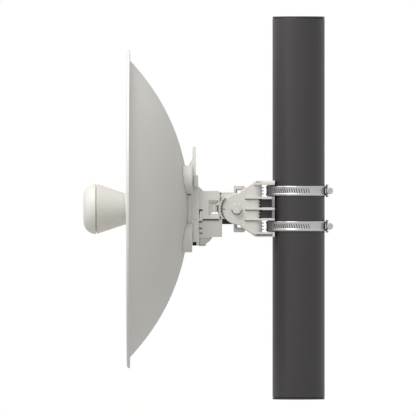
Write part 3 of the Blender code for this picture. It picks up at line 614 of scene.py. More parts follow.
def dull_rubber(name, colour, roughness):
    """Rubber: matte, with a dusty bloom in patches."""
    finish = Finish(name, roughness)
    bloom = finish.noise(90.0, detail=5.0)
    finish.feed("Base Color", finish.blend(bloom, tinted(colour, 0.75), tinted(colour, 1.5)))
    finish.bump(finish.noise(900.0, detail=3.0), 0.25, 0.08 * MM)
    finish.feed("Roughness", roughness - 0.06 + 0.12 * bloom)
    return finish.material


def satin_paint(name, colour, roughness):
    """Paint on the drawn tube: fine peel, and faint draw lines along the tube."""
    finish = Finish(name, roughness)
    lines = finish.noise(60.0, detail=4.0, stretch=(14.0, 14.0, 0.35))
    finish.feed("Base Color", finish.blend(lines, tinted(colour, 0.88), tinted(colour, 1.12)))
    finish.bump(finish.noise(650.0, detail=2.0) + 0.5 * lines, 0.10, 0.08 * MM)
    finish.feed("Roughness", roughness - 0.03 + 0.07 * finish.noise(45.0, detail=3.0))
    return finish.material


def brushed_steel_painted_shade(name, colour, roughness):
    """Rolled stainless strip: fine lines that run along the band, with painted shade at the band's left end
    and a painted dark reflection at its right edge.
    """
    finish = Finish(name, roughness, metallic=1.0)
    lines = finish.noise(120.0, detail=5.0, stretch=(0.5, 0.5, 22.0))
    along = finish.node("ShaderNodeSeparateXYZ", {}, {0: finish.place})
    # 1 where the band keeps its own colour, 0 in the painted shade at the left end and in the painted dark
    # reflection at the right edge
    clear_of_painted_shade = finish.ramp(along, PAINTED_SHADE_DARK_X, PAINTED_SHADE_CLEAR_X) * finish.ramp(along, PAINTED_REFLECTION_DARK_X, PAINTED_REFLECTION_CLEAR_X)
    tone = clear_of_painted_shade * (0.80 + 0.20 * lines)
    finish.feed("Base Color", finish.blend(tone, tinted(colour, 0.42), tinted(colour, 1.08)))
    finish.bump(lines, 0.10, 0.03 * MM)
    finish.feed("Roughness", roughness - 0.05 + 0.12 * lines)
    return finish.material


def flake_coat(name, colour, roughness):
    """Dull zinc-flake coat on a bolt: pale, fine-grained, with a faint metal sheen."""
    finish = Finish(name, roughness, metallic=0.25)
    cloud = finish.noise(140.0, detail=4.0)
    finish.feed("Base Color", finish.blend(cloud, tinted(colour, 0.94), tinted(colour, 1.05)))
    finish.bump(finish.noise(1400.0, detail=3.0), 0.14, 0.05 * MM)
    finish.feed("Roughness", roughness - 0.05 + 0.10 * cloud)
    return finish.material


def zinc_plate(name, colour, roughness):
    """Zinc-plated steel: pale, slightly clouded."""
    finish = Finish(name, roughness, metallic=0.85)
    cloud = finish.noise(160.0, detail=5.0)
    finish.feed("Base Color", finish.blend(cloud, tinted(colour, 0.90), tinted(colour, 1.06)))
    finish.bump(finish.noise(1200.0, detail=2.0), 0.08, 0.04 * MM)
    finish.feed("Roughness", roughness - 0.06 + 0.14 * cloud)
    return finish.material


def finish_of(name):
    """The material of that name, made the first time it is asked for."""
    made = bpy.data.materials.get(name)
    if made is not None:
        return made
    colours = bpy.context.scene.dish_finish
    makers = {
        "pale_moulding": (moulded_plastic, colours.pale, 0.46),
        "white_moulding": (moulded_plastic, colours.white, 0.40),
        # A darker copy of the pale moulding: painted shade on the port cover, where the dish shadows it
        "lid_moulding": (moulded_plastic, tinted(colours.pale, 0.88), 0.46),
        "coated_sheet": (powder_coat, colours.sheet, 0.48),
        # Real rubber on the plugs and grommet; painted shade on the jaw pads, seal, liner, latch strip and
        # wall teeth
        "black_rubber": (dull_rubber, colours.rubber, 0.62),
        "clamp_steel": (brushed_steel_painted_shade, colours.steel, 0.38),
        "plated_steel": (zinc_plate, colours.zinc, 0.40),
        # A dark copy of the plated steel: painted shade on the screw saddles, which stand in shadow between
        # band and screw box
        "saddle_steel": (zinc_plate, (0.20, 0.20, 0.20), 0.45),
        "bolt_coat": (flake_coat, colours.flake, 0.50),
        "dark_pole_paint": (satin_paint, colours.pole, 0.40),
        "scale_ink": (dull_rubber, (0.05, 0.047, 0.047), 0.60),
    }
    maker, colour, roughness = makers[name]
    return maker(name, tuple(colour), roughness)


# Pole

def make_pole(shape):
    """The tube with eased ends, and the lipped plugs that close it."""
    inner = POLE_RADIUS - POLE_WALL
    low, high = PLUG_LIP + GAP, POLE_HEIGHT - PLUG_LIP - GAP
    edge = shape.edge
    tube = rounded([(low, POLE_RADIUS, edge), (high, POLE_RADIUS, edge),
                    (high, inner, 0.0), (low, inner, 0.0)])
    dress(solid("drawn_tube", turned(tube, "Z", ORIGIN, shape.round_steps)),
          finish_of("dark_pole_paint"), "pole_tube")
    spigot = inner - GAP
    plug = rounded([(0.0, 0.0, 0.0), (0.0, POLE_RADIUS, 1.1 * MM), (PLUG_LIP, POLE_RADIUS, 0.3 * MM),
                    (PLUG_LIP, spigot, 0.0), (PLUG_LIP + PLUG_SPIGOT, spigot, 2.0 * MM),
                    (PLUG_LIP + PLUG_SPIGOT, 0.0, 0.0)])
    dress(solid("tube_foot_cap", turned(plug, "Z", ORIGIN, shape.round_steps)),
          finish_of("black_rubber"), "pole_foot_plug")
    top = [(POLE_HEIGHT - level, radius) for level, radius in plug]
    dress(solid("tube_top_cap", turned(top, "Z", ORIGIN, shape.round_steps)),
          finish_of("black_rubber"), "pole_top_plug")


# Reflector and feed

def dish_back(radius):
    """Where the reflector's back surface lies along X at a distance from its axis."""
    return DISH_APEX_X - DISH_BOW * radius ** 2 - DISH_FLARE * radius ** 4


def dish_front(radius):
    """The point on the reflector's front opposite the back surface at a radius."""
    slope = -2.0 * DISH_BOW * radius - 4.0 * DISH_FLARE * radius ** 3
    length = math.hypot(1.0, slope)
    return (dish_back(radius) - DISH_SHEET / length, radius + slope * DISH_SHEET / length)


def make_reflector(shape):
    """The pressed dish with its flat rim and rolled edge."""
    hole = NECK_RADIUS + GAP
    rings = 40
    radii = [hole + (DISH_SHELL_RADIUS - hole) * step / rings for step in range(rings + 1)]
    back = [(dish_back(radius), radius) for radius in radii]
    front = [dish_front(radius) for radius in radii[1:]]
    front.insert(0, (dish_back(hole) - DISH_SHEET, hole))
    rim_back = RIM_FRONT_X + RIM_THICK
    turn = 0.5 * MM
    bend = [(rim_back - 0.25 * MM, DISH_SHELL_RADIUS + 1.2 * MM), (rim_back, DISH_SHELL_RADIUS + 2.6 * MM)]
    rolled = arc((rim_back - turn, DISH_RADIUS - turn), turn, 0.0, 90.0, 3)
    rolled += arc((RIM_FRONT_X + RIM_ROUND, DISH_RADIUS - RIM_ROUND), RIM_ROUND, 90.0, 180.0, 10)
    lead_in = [(RIM_FRONT_X, DISH_SHELL_RADIUS + 1.6 * MM),
               (RIM_FRONT_X + 0.1 * MM, DISH_SHELL_RADIUS + 0.2 * MM)]
    profile = back + bend + rolled + lead_in + front[::-1]
    bm = turned(profile, "X", DISH_MIDDLE, shape.dish_steps)
    dress(solid("pressed_dish", bm), finish_of("coated_sheet"), "reflector", sharp=50.0)


def make_feed(shape):
    """Cap with its gate mark, cone with a seam lip, neck and collar."""
    middle = DISH_MIDDLE
    lip = 0.5 * MM
    cap = [(FEED_FRONT_X, 0.0)]
    cap += arc((FEED_FRONT_X + CAP_ROUND, FEED_RADIUS - CAP_ROUND), CAP_ROUND, 180.0, 94.0, 20)
    cap += [(FEED_SEAM_X - lip, FEED_RADIUS), (FEED_SEAM_X, FEED_RADIUS - lip), (FEED_SEAM_X, 0.0)]
    cap_piece = solid("feed_dome", turned(cap, "X", middle, shape.round_steps))
    mark = middle + Vector((0.0, 0.0, 9.8 * MM))
    gate = rounded([(FEED_FRONT_X + 1.0 * MM, 0.0, 0.0), (FEED_FRONT_X + 1.0 * MM, 1.8 * MM, 0.0),
                    (FEED_FRONT_X - 0.3 * MM, 1.8 * MM, 0.25 * MM), (FEED_FRONT_X - 0.3 * MM, 0.0, 0.0)])
    combine(cap_piece, "UNION", [turned(gate, "X", mark, 20)])
    dress(cap_piece, finish_of("pale_moulding"), "feed_cap", sharp=40.0)

    front = FEED_SEAM_X + GAP
    seat = NECK_X - GAP
    slope = (CONE_END_RADIUS - FEED_RADIUS) / (CONE_END_X - front)
    cone = rounded([(front, 0.0, 0.0), (front, FEED_RADIUS - SEAM_DEPTH, 0.0),
                    (front + SEAM_WIDTH, FEED_RADIUS - SEAM_DEPTH, 0.0),
                    (front + SEAM_WIDTH, FEED_RADIUS + slope * SEAM_WIDTH, 0.25 * MM),
                    (CONE_END_X, CONE_END_RADIUS, 2.0 * MM),
                    (CONE_END_X + 1.6 * MM, NECK_RADIUS, 1.0 * MM),
                    (seat, NECK_RADIUS, 0.3 * MM), (seat, 0.0, 0.0)], steps=6)
    dress(solid("feed_skirt", turned(cone, "X", middle, shape.round_steps)),
          finish_of("pale_moulding"), "feed_cone", sharp=25.0)

    end = PLATE_LOW.x - GAP
    neck = rounded([(NECK_X, 0.0, 0.0), (NECK_X, NECK_RADIUS, 0.3 * MM), (end, NECK_RADIUS, 0.3 * MM),
                    (end, 0.0, 0.0)])
    dress(solid("feed_stem", turned(neck, "X", middle, shape.round_steps)),
          finish_of("pale_moulding"), "feed_neck")

    inner = NECK_RADIUS + GAP
    gap = DISH_SHEET + GAP
    collar = [(dish_back(inner) - gap, inner), (dish_back(inner) - COLLAR_DEPTH, inner)]
    collar += arc((dish_back(inner) - COLLAR_DEPTH + 1.0 * MM, inner + 2.0 * MM), 1.0 * MM, 180.0, 90.0, 4)
    collar += [(dish_back(inner) - COLLAR_DEPTH + 3.0 * MM, inner + 3.6 * MM),
               (dish_back(COLLAR_RADIUS) - gap - 2.0 * MM, COLLAR_RADIUS - 2.6 * MM),
               (dish_back(COLLAR_RADIUS) - gap - 1.2 * MM, COLLAR_RADIUS - 0.5 * MM),
               (dish_back(COLLAR_RADIUS) - gap - 0.5 * MM, COLLAR_RADIUS),
               (dish_back(COLLAR_RADIUS) - gap - 0.1 * MM, COLLAR_RADIUS)]
    dress(solid("feed_seat_ring", turned(collar, "X", middle, shape.round_steps)),
          finish_of("pale_moulding"), "feed_collar")


# Hub

def hub_outline():
    """The hub seen along X: four round lobes and a narrower waist."""
    meet = math.degrees(math.acos((HUB_WAIST_WIDTH - LOBE_Y) / LOBE_RADIUS))
    upper_right = arc((LOBE_Y, LOBE_Z), LOBE_RADIUS, -meet, 90.0, 40)
    right = [(first, -second) for first, second in reversed(upper_right)] + upper_right
    left = [(-first, second) for first, second in reversed(right)]
    return shifted(right + left, 0.0, AXIS_Z)


def make_hub(shape):
    """The lobed hub that hugs the reflector's back."""
    bm = prism(hub_outline(), "X", HUB_FRONT_X, HUB_BACK_X)
    ease(bm, shape.hub_edge, 4, picks=lambda edge: min(v.co.x for v in edge.verts) > HUB_BACK_X - GAP)
    hub = solid("lobed_hub", bm)
    radii = [HUB_REACH * step / 24 for step in range(25)]
    keep_out = [(dish_back(radius) + GAP, radius) for radius in radii]
    beyond = HUB_FRONT_X - 13.0 * MM
    keep_out += [(beyond, HUB_REACH), (beyond, 0.0)]
    bore = NECK_RADIUS + GAP
    cuts = []
    foot = AXIS_Z + LOBE_Z - LOBE_RADIUS
    for y_range in both_sides(29.0 * MM, 47.0 * MM):
        cuts.append(block((-153.3 * MM, HUB_BACK_X - 1.9 * MM), y_range, (foot - 1.3 * MM, foot + 0.27 * MM)))
    cuts += [turned(keep_out, "X", DISH_MIDDLE, 128, OFF_STEP),
             rod("X", beyond, -130.0 * MM, bore, DISH_MIDDLE, 64, OFF_STEP)]
    combine(hub, "DIFFERENCE", cuts)
    dress(hub, finish_of("pale_moulding"), "hub_plate", sharp=28.0)


def make_rear_plate(shape):
    """The plate behind the hub with its tapered feet, and the seal under it, whose dark colour is painted
    shade under the plate.
    """
    left, right = PLATE_LOW.x, PLATE_HIGH.x
    width = PLATE_WIDTH
    edge = shape.edge
    outline = rounded([(left, SEAL_TOP_Z + GAP, 0.0), (SEAL_RIGHT_X + GAP, SEAL_TOP_Z + GAP, 0.0),
                       (SEAL_RIGHT_X + GAP, PLATE_LOW.z, 0.4 * MM), (right, PLATE_LOW.z, edge),
                       (right, PLATE_HIGH.z, edge), (left, PLATE_HIGH.z, 0.0)])
    plate = solid("back_plate", ease(prism(outline, "Y", -width, width), edge, 2,
                                     picks=level_in_y))
    foot_width = PLATE_HIGH.y
    foot_outline = rounded([(-139.5 * MM, 208.0 * MM, 0.0), (-132.7 * MM, 208.0 * MM, 1.2 * MM),
                            (-132.7 * MM, 222.0 * MM, 1.0 * MM), (-135.9 * MM, 232.4 * MM, 1.2 * MM),
                            (-139.5 * MM, 232.4 * MM, 0.0)])
    feet = ease(prism(foot_outline, "Y", -foot_width, foot_width), 1.0 * MM, 3,
                picks=lambda edge_: abs(edge_.verts[0].co.y) > foot_width - GAP
                and level_in_y(edge_))
    rib_outline = [(left + 0.6 * MM, 237.0 * MM), (-134.2 * MM, 237.0 * MM), (-134.2 * MM, 276.0 * MM),
                   (left + 0.6 * MM, 276.0 * MM)]
    side_rib = ease(prism(rib_outline, "Y", -width - 0.8 * MM, width + 0.8 * MM), shape.thin_edge)
    combine(plate, "UNION", [feet, side_rib])
    dress(plate, finish_of("pale_moulding"), "rear_plate")
    seal = block((left, SEAL_RIGHT_X), (-SEAL_WIDTH, SEAL_WIDTH),
                 (low_of("hub_seal").z - GAP, SEAL_TOP_Z), 0.6 * MM)
    dress(solid("hub_gasket", seal), finish_of("black_rubber"), "hub_seal")


def make_lock(shape):
    """The lock tab with its gusset, and the chamfered boss on each side."""
    low, high = low_of("lock_tab"), high_of("lock_tab")
    outline = rounded([(-139.9 * MM, low.z, 0.0), (-135.4 * MM, low.z, 0.0),
                       (-135.4 * MM, high.z, 1.1 * MM), (-139.8 * MM, high.z, 1.1 * MM),
                       (-139.8 * MM, 318.0 * MM, 2.0 * MM), (low.x, 308.5 * MM, 0.0),
                       (-139.9 * MM, 308.5 * MM, 0.0)])
    tab = ease(prism(outline, "Y", low.y, high.y), shape.thin_edge, 2,
               picks=level_in_y)
    dress(solid("lock_lever", tab), finish_of("white_moulding"), "lock_tab")
    for node, name in (("lock_boss_near", "boss_near"), ("lock_boss_far", "boss_far")):
        low, high = low_of(node), high_of(node)
        boss = block((low.x, high.x), (low.y, high.y), (low.z, high.z), 2.3 * MM, 4)
        dress(solid(name, boss), finish_of("pale_moulding"), node, sharp=50.0)


# Housing and its cover

def window_shapes(width):
    """Cutters for the see-through window and its bevelled cheeks on both sides."""
    left, right, foot, top = WINDOW_INNER
    shapes = [ease(block((left, right), (-width - 1.0 * MM, width + 1.0 * MM), (foot, top)), 0.8 * MM, 3,
                   picks=runs_along_y)]
    for side in (-1.0, 1.0):
        bm = bmesh.new()
        rings = []
        for depth, (left, right, foot, top) in ((width + 0.02 * MM, WINDOW_OUTER),
                                                (width - WINDOW_BEVEL, WINDOW_INNER)):
            corners = ((left, foot), (right, foot), (right, top), (left, top))
            rings.append([bm.verts.new((x, side * depth, z)) for x, z in corners])
        bm.faces.new(rings[0])
        bm.faces.new(rings[1][::-1])
        edges = [bm.edges.get((ring[i], ring[i - 1])) for ring in rings for i in range(4)]
        bmesh.ops.bridge_loops(bm, edges=edges)
        bmesh.ops.recalc_face_normals(bm, faces=bm.faces)
        shapes.append(bm)
    return shapes


def notch_shapes(x_range, levels, height, width, depth):
    """Slots cut into both sides of a block."""
    shapes = []
    for level in levels:
        for y_range in both_sides(width - depth, width + 1.0 * MM):
            shapes.append(block(x_range, y_range, (level - height / 2, level + height / 2)))
    return shapes


def scallops(radius):
    """Round cuts that leave room for the arm's scale rings, one on each side."""
    shapes = []
    for ends in both_sides(DISC_INNER_Y - GAP, 40.0 * MM):
        shapes.append(rod("Y", *ends, radius, PIVOT, 128))
    return shapes


def make_housing(shape):
    """The windowed block, and its latch with a dark strip beside it that paints the shade in the window."""
    low, high = HOUSING_LOW, HOUSING_HIGH
    width = high.y
    step_z = COVER_HIGH.z + GAP
    outline = [(low.x, step_z), (HOUSING_STEP_X, step_z), (HOUSING_STEP_X, HOUSING_FOOT_Z),
               (high.x, HOUSING_FOOT_Z), (high.x, SHOULDER_Z), (SHOULDER_X, SHOULDER_Z), (low.x, high.z)]
    body = ease(prism(outline, "Y", -width, width), shape.thin_edge, 3, least=20.0,
                picks=lambda edge: min(v.co.z for v in edge.verts) > HOUSING_FOOT_Z - GAP
                or level_in_y(edge))
    housing = solid("window_housing", body)
    cuts = window_shapes(width) + scallops(RING_OUTER + 2 * GAP)
    cuts += notch_shapes((-131.2 * MM, -126.5 * MM), [249.4 * MM], 2.3 * MM, width, 12.0 * MM)
    cuts += notch_shapes((-131.2 * MM, -130.1 * MM), [246.6 * MM], 4.2 * MM, width, 9.0 * MM)
    cuts += notch_shapes((-131.15 * MM, -130.55 * MM), [241.7 * MM], 6.4 * MM, width, 5.0 * MM)
    combine(housing, "DIFFERENCE", cuts)
    dress(housing, finish_of("pale_moulding"), "housing_block")

    low, high = low_of("window_latch"), high_of("window_latch")
    left = WINDOW_INNER[0] + GAP / 2
    bar = block((left, high.x), (-LATCH_WIDTH, LATCH_WIDTH), (low.z, high.z), 0.7 * MM, 3)
    latch = solid("latch_bar", bar)
    back = LATCH_WIDTH - 9.0 * MM
    combine(latch, "UNION", [block((left + 0.1 * MM, high.x - 0.1 * MM), (-back, back),
                                   (high.z - 2.0 * MM, WINDOW_INNER[3] - 0.1 * MM))])
    grooves = []
    for x in (left + 1.5 * MM, high.x - 1.5 * MM):
        for y_range in both_sides(LATCH_WIDTH - 1.2 * MM, LATCH_WIDTH + 1.0 * MM):
            grooves.append(block((x - 0.3 * MM, x + 0.3 * MM), y_range,
                                 (low.z + 0.8 * MM, high.z - 0.8 * MM)))
    combine(latch, "DIFFERENCE", grooves)
    dress(latch, finish_of("pale_moulding"), "window_latch")
    # A dark rubber strip right of the latch: painted shade in the window's corner
    buffer = block((high.x + 0.1 * MM, WINDOW_INNER[1] - 0.1 * MM), (-LATCH_WIDTH, LATCH_WIDTH),
                   (low.z + 0.2 * MM, high.z - 1.7 * MM), 0.3 * MM)
    add_detail(solid("latch_painted_shade", buffer), finish_of("black_rubber"), "window_latch")


def make_cover(shape):
    """The port cover under the housing, with snap slots and eased corners."""
    low, high = COVER_LOW, COVER_HIGH
    width = high.y
    outline = rounded([(low.x, low.z, 0.0), (high.x, low.z, 1.2 * MM), (high.x, high.z, 0.8 * MM),
                       (low.x, high.z, 0.0)])
    body = ease(prism(outline, "Y", -width, width), 1.5 * MM, 3, least=40.0,
                picks=lambda edge: level_in_y(edge)
                and min(v.co.x for v in edge.verts) > low.x - GAP)
    cover = solid("port_lid", body)
    bead = block((high.x - 2.1 * MM, high.x - 1.1 * MM), (-width - 0.4 * MM, width + 0.4 * MM),
                 (low.z + 1.6 * MM, high.z - 1.2 * MM), 0.35 * MM)
    combine(cover, "UNION", [bead])
    cuts = notch_shapes((-131.5 * MM, -126.8 * MM), [233.7 * MM, 225.3 * MM], 1.5 * MM, width, 12.0 * MM)
    cuts += notch_shapes((-130.4 * MM, -126.8 * MM), [219.0 * MM], 1.5 * MM, width, 12.0 * MM)
    combine(cover, "DIFFERENCE", cuts)
    # The cover takes the darker copy of the pale moulding as painted shade
    dress(cover, finish_of("lid_moulding"), "port_cover")


def make_outlet(shape):
    """The domed cable outlet and the grommet in its bore."""
    low, high = OUTLET_LOW, OUTLET_HIGH
    axis = Vector((OUTLET_X, 0.0, 0.0))
    radius = high.y
    rim = OUTLET_BORE + 1.0 * MM
    height = high.z - low.z
    shoulder = []
    for step in range(17):
        angle = math.radians(90.0 * step / 16)
        fall = math.sin(angle) ** (2.0 / OUTLET_CURVE)
        reach = math.cos(angle) ** (2.0 / OUTLET_CURVE)
        shoulder.append((high.z - height * fall, max(rim, radius * reach)))
    roof = high.z - 2.0 * MM
    profile = [(high.z, 0.0)] + shoulder + [(low.z, OUTLET_BORE + 0.2 * MM), (low.z + 0.2 * MM, OUTLET_BORE),
                                            (roof, OUTLET_BORE), (roof, 0.0)]
    dome = solid("outlet_dome", turned(profile, "Z", axis, 96))
    trim = block((-150.0 * MM, low.x), (-20.0 * MM, 20.0 * MM), (195.0 * MM, 220.0 * MM))
    combine(dome, "DIFFERENCE", [trim])
    dress(dome, finish_of("pale_moulding"), "cable_outlet", sharp=40.0)
    low, high = low_of("cable_grommet"), high_of("cable_grommet")
    outer = high.y
    inner = 3.2 * MM
    grommet = rounded([(low.z, outer, 0.2 * MM), (high.z, outer, 0.0), (high.z, inner, 0.0),
                       (low.z, inner, 0.3 * MM)])
    bush = solid("outlet_bush", turned(grommet, "Z", axis, 48))
    dress(bush, finish_of("black_rubber"), "cable_grommet")


# Tilt arm

def make_arm(shape):
    """The stepped arm, the windowed yoke, the scale discs and the raised scale rings."""
    left = ARM_LOW.x
    foot = HOUSING_FOOT_Z + 0.1 * MM
    edge = shape.edge
    ledge = 1.6 * MM

    def beam(start, end, width, z_range):
        return ease(block((start, end), (-width, width), z_range), ledge, 4,
                    picks=lambda e: abs(e.verts[0].co.x - e.verts[1].co.x) > GAP)

    arm = solid("tilt_beam", beam(left, YOKE_LEFT_X + 4.0 * MM, ARM_WIDTH, (foot, 266.7 * MM)))
    step = beam(left + 0.05 * MM, YOKE_LEFT_X + 5.0 * MM, 12.0 * MM, (foot + 5.0 * MM, 269.6 * MM))
    crest = beam(left + 0.12 * MM, YOKE_LEFT_X + 6.0 * MM, 8.0 * MM, (foot + 7.0 * MM, ARM_CREST_Z))
    corner = 2.5 * MM
    half = YOKE_HALF_HEIGHT
    yoke_half = [(YOKE_RIGHT_X, half - corner), (YOKE_RIGHT_X - corner, half), (YOKE_LEFT_X, half)]
    yoke_outline = shifted(mirrored(yoke_half) + yoke_half, 0.0, PIVOT.z)
    yoke = ease(prism(yoke_outline, "Y", -YOKE_WIDTH, YOKE_WIDTH), edge, 3, least=30.0)
    disc_half = [(DISC_INNER_Y, BARREL_RADIUS), (DISC_INNER_Y, DISC_RADIUS),
                 (DISC_OUTER_Y - 0.4 * MM, DISC_RADIUS), (DISC_OUTER_Y, DISC_RADIUS - 0.4 * MM),
                 (DISC_OUTER_Y, 0.5 * BOLT_RADIUS)]
    disc_profile = [(-level, radius) for level, radius in reversed(disc_half)] + disc_half
    combine(arm, "UNION", [step, crest, yoke, turned(disc_profile, "Y", PIVOT, 128)])

    ring_end = RING_OUTER * math.sin(RING_REACH)
    for side in (-1.0, 1.0):
        face = side * RING_FACE_Y
        seat = side * (DISC_INNER_Y + 0.4 * MM)
        ease_in = side * 0.4 * MM
        floor = side * (DISC_OUTER_Y + 0.1 * MM)
        profile = [(seat, RING_ROOT), (seat, RING_OUTER), (face - ease_in, RING_OUTER),
                   (face, RING_OUTER - 0.4 * MM), (face, RING_INNER + 0.4 * MM), (face - ease_in, RING_INNER),
                   (floor, RING_INNER), (floor, RING_ROOT)]
        ring = solid("ring", turned(profile, "Y", PIVOT, 160))
        combine(ring, "INTERSECT", [block((PIVOT.x - 30.0 * MM, PIVOT.x - 10.0 * MM), (-40.0 * MM, 40.0 * MM),
                                          (PIVOT.z - RING_FOOT, PIVOT.z + ring_end))])
        bm = bmesh.new()
        bm.from_mesh(ring.data)
        bpy.data.objects.remove(ring)
        combine(arm, "UNION", [bm])

    hole = BOLT_RADIUS + GAP
    cuts = [rod("Y", -40.0 * MM, 40.0 * MM, hole, PIVOT, 45, OFF_STEP)]
    for z_range in ((260.5 * MM, 275.6 * MM), (226.4 * MM, 241.37 * MM)):
        opening = block((-80.9 * MM, -74.8 * MM), (-30.0 * MM, 30.0 * MM), z_range)
        cuts.append(ease(opening, 0.8 * MM, 3,
                         picks=runs_along_y))
    for recess, notch in zip(both_sides(YOKE_WIDTH - 3.0 * MM, YOKE_WIDTH + 1.0 * MM),
                             both_sides(4.0 * MM, 9.0 * MM)):
        cuts.append(block((-83.0 * MM, -74.6 * MM), recess, (266.0 * MM, 276.6 * MM)))
        cuts.append(block((-83.0 * MM, -74.6 * MM), recess, (225.4 * MM, 236.0 * MM)))
        cuts.append(block((left - 1.0 * MM, left + 2.2 * MM), notch, (269.2 * MM, 272.7 * MM)))
    combine(arm, "DIFFERENCE", cuts)
    mend(arm)
    dress(arm, finish_of("pale_moulding"), "tilt_arm")

    ticks = []
    count = int((RING_REACH - math.radians(3.0)) / shape.tick_step)
    for side in (-1.0, 1.0):
        for number in range(-count, count):
            angle = number * shape.tick_step
            reach, half = (1.5 * MM, 0.45 * MM) if number % 2 == 0 else (0.9 * MM, 0.16 * MM)
            y_range = sorted((side * (RING_FACE_Y - 0.3 * MM), side * (RING_FACE_Y + 0.04 * MM)))
            tick = block((-RING_INNER - reach, -RING_INNER - 0.1 * MM), y_range, (-half, half))
            turn = Matrix.Rotation(-angle, 4, "Y")
            bmesh.ops.transform(tick, matrix=Matrix.Translation(PIVOT) @ turn, verts=tick.verts)
            ticks.append(tick)
    add_detail(solid("scale_ticks", joined(ticks)), finish_of("scale_ink"), "tilt_arm")


def make_liner(shape):
    """A dark sheet between housing and cover, and its block under the arm: painted shade in the gap and under
    the arm.
    """
    block_left = -100.8 * MM
    foot = low_of("arm_liner").z
    top = HOUSING_FOOT_Z + 0.05 * MM
    liner = solid("painted_shade_liner", block((block_left, high_of("arm_liner").x), (-14.0 * MM, 14.0 * MM),
                                      (foot, top), 0.5 * MM))
    sheet = block((low_of("arm_liner").x, HOUSING_HIGH.x - GAP), (-PAINTED_SHADE_SHEET_WIDTH, PAINTED_SHADE_SHEET_WIDTH),
                  (COVER_HIGH.z + 0.05 * MM, HOUSING_FOOT_Z - 0.05 * MM))
    neck = block((HOUSING_HIGH.x - 1.0 * MM, block_left + 0.6 * MM), (-14.0 * MM, 14.0 * MM),
                 (COVER_HIGH.z + GAP, HOUSING_FOOT_Z - GAP))
    combine(liner, "UNION", [sheet, neck])
    dress(liner, finish_of("black_rubber"), "arm_liner")


# Pivot bolt

def hexagon(radius):
    """Corners of a hexagon with two of them level with its middle, as (x, z) pairs."""
    return shifted(arc((0.0, 0.0), radius, 0.0, 300.0, 5), PIVOT.x, PIVOT.z)


def hex_solid(name, low, high, chamfer_low, chamfer_high):
    """A hexagon between two levels along Y, its corners turned off where asked."""
    body = solid(name, prism(hexagon(BOLT_HEAD_RADIUS), "Y", low, high))
    reach = BOLT_HEAD_RADIUS + 0.5 * MM
    face = BOLT_HEAD_RADIUS * 0.88
    fall = (reach - face) * math.tan(math.radians(35.0))
    low_part = [(low - 1.0 * MM, 0.0), (low - 1.0 * MM, reach)]
    high_part = [(high + 1.0 * MM, reach), (high + 1.0 * MM, 0.0)]
    if chamfer_low:
        low_part = [(low, 0.0), (low, face), (low + fall, reach)]
    if chamfer_high:
        high_part = [(high - fall, reach), (high, face), (high, 0.0)]
    combine(body, "INTERSECT", [turned(low_part + high_part, "Y", PIVOT, 96)])
    return body


def make_pivot(shape):
    """Hex bolt through both cheeks, with washer, nut and a threaded end on the far side."""
    seat = -CHEEK_OUTER_Y - GAP
    nut_low = CHEEK_OUTER_Y + GAP + WASHER_THICK + GAP
    nut_high = nut_low + NUT_HEIGHT
    end = high_of("pivot_bolt").y
    bolt = hex_solid("hex_bolt", seat - BOLT_HEAD_HEIGHT, seat, True, False)
    pitch = BOLT_THREAD_PITCH
    shank = [(seat - 1.0 * MM, 0.0), (seat - 1.0 * MM, BOLT_RADIUS), (nut_low - 6.0 * MM, BOLT_RADIUS)]
    level = nut_low - 6.0 * MM
    while level + pitch < end - 0.5 * MM:
        shank += [(level + pitch * 0.5, BOLT_RADIUS - 0.55 * MM), (level + pitch, BOLT_RADIUS)]
        level += pitch
    shank += [(end, BOLT_RADIUS - 1.0 * MM), (end, 0.0)]
    combine(bolt, "UNION", [turned(shank, "Y", PIVOT, 48)])
    ring = [(seat - BOLT_HEAD_HEIGHT - 0.5 * MM, 3.6 * MM), (seat - BOLT_HEAD_HEIGHT - 0.5 * MM, 4.1 * MM),
            (seat - BOLT_HEAD_HEIGHT + 0.25 * MM, 4.1 * MM), (seat - BOLT_HEAD_HEIGHT + 0.25 * MM, 3.6 * MM)]
    combine(bolt, "DIFFERENCE", [turned(ring, "Y", PIVOT, 64)])
    dress(bolt, finish_of("bolt_coat"), "pivot_bolt", sharp=18.0)

    hole = BOLT_RADIUS + GAP
    face = CHEEK_OUTER_Y + GAP
    back = face + WASHER_THICK
    washer = rounded([(face, hole, 0.2 * MM), (face, WASHER_RADIUS, 0.3 * MM),
                      (back, WASHER_RADIUS, 0.5 * MM), (back, hole, 0.2 * MM)])
    flat = solid("flat_washer", turned(washer, "Y", PIVOT, 64))
    dress(flat, finish_of("bolt_coat"), "pivot_washer")

    nut = hex_solid("hex_nut", nut_low, nut_high, True, True)
    bore = [(nut_low - 1.0 * MM, 0.0), (nut_low - 1.0 * MM, hole + 1.0 * MM), (nut_low + 1.0 * MM, hole),
            (nut_high - 1.0 * MM, hole), (nut_high + 1.0 * MM, hole + 1.0 * MM), (nut_high + 1.0 * MM, 0.0)]
    combine(nut, "DIFFERENCE", [turned(bore, "Y", PIVOT, 64)])
    dress(nut, finish_of("bolt_coat"), "pivot_nut", sharp=18.0)


# Pole bracket

def cheek_outline():
    """Side view of the bracket: a round nose that flares to the plates at the pole."""
    nose = arc((1.7 * MM, 0.0), 21.0 * MM, 84.0, 180.0, 32)
    flare = [(5.9 * MM, 24.0 * MM), (10.9 * MM, 27.5 * MM), (22.9 * MM, 35.6 * MM)]
    rise, drop = BRACKET_HIGH.z - GAP - PIVOT.z, BRACKET_LOW.z + GAP - PIVOT.z
    upper = [(60.0 * MM, rise), (25.5 * MM, rise)] + flare[::-1] + nose
    lower = [(60.0 * MM, drop), (25.5 * MM, drop)]
    lower += [(first, -second) for first, second in flare[::-1] + nose[:-1]]
    return shifted(upper + lower[::-1], PIVOT.x, PIVOT.z)


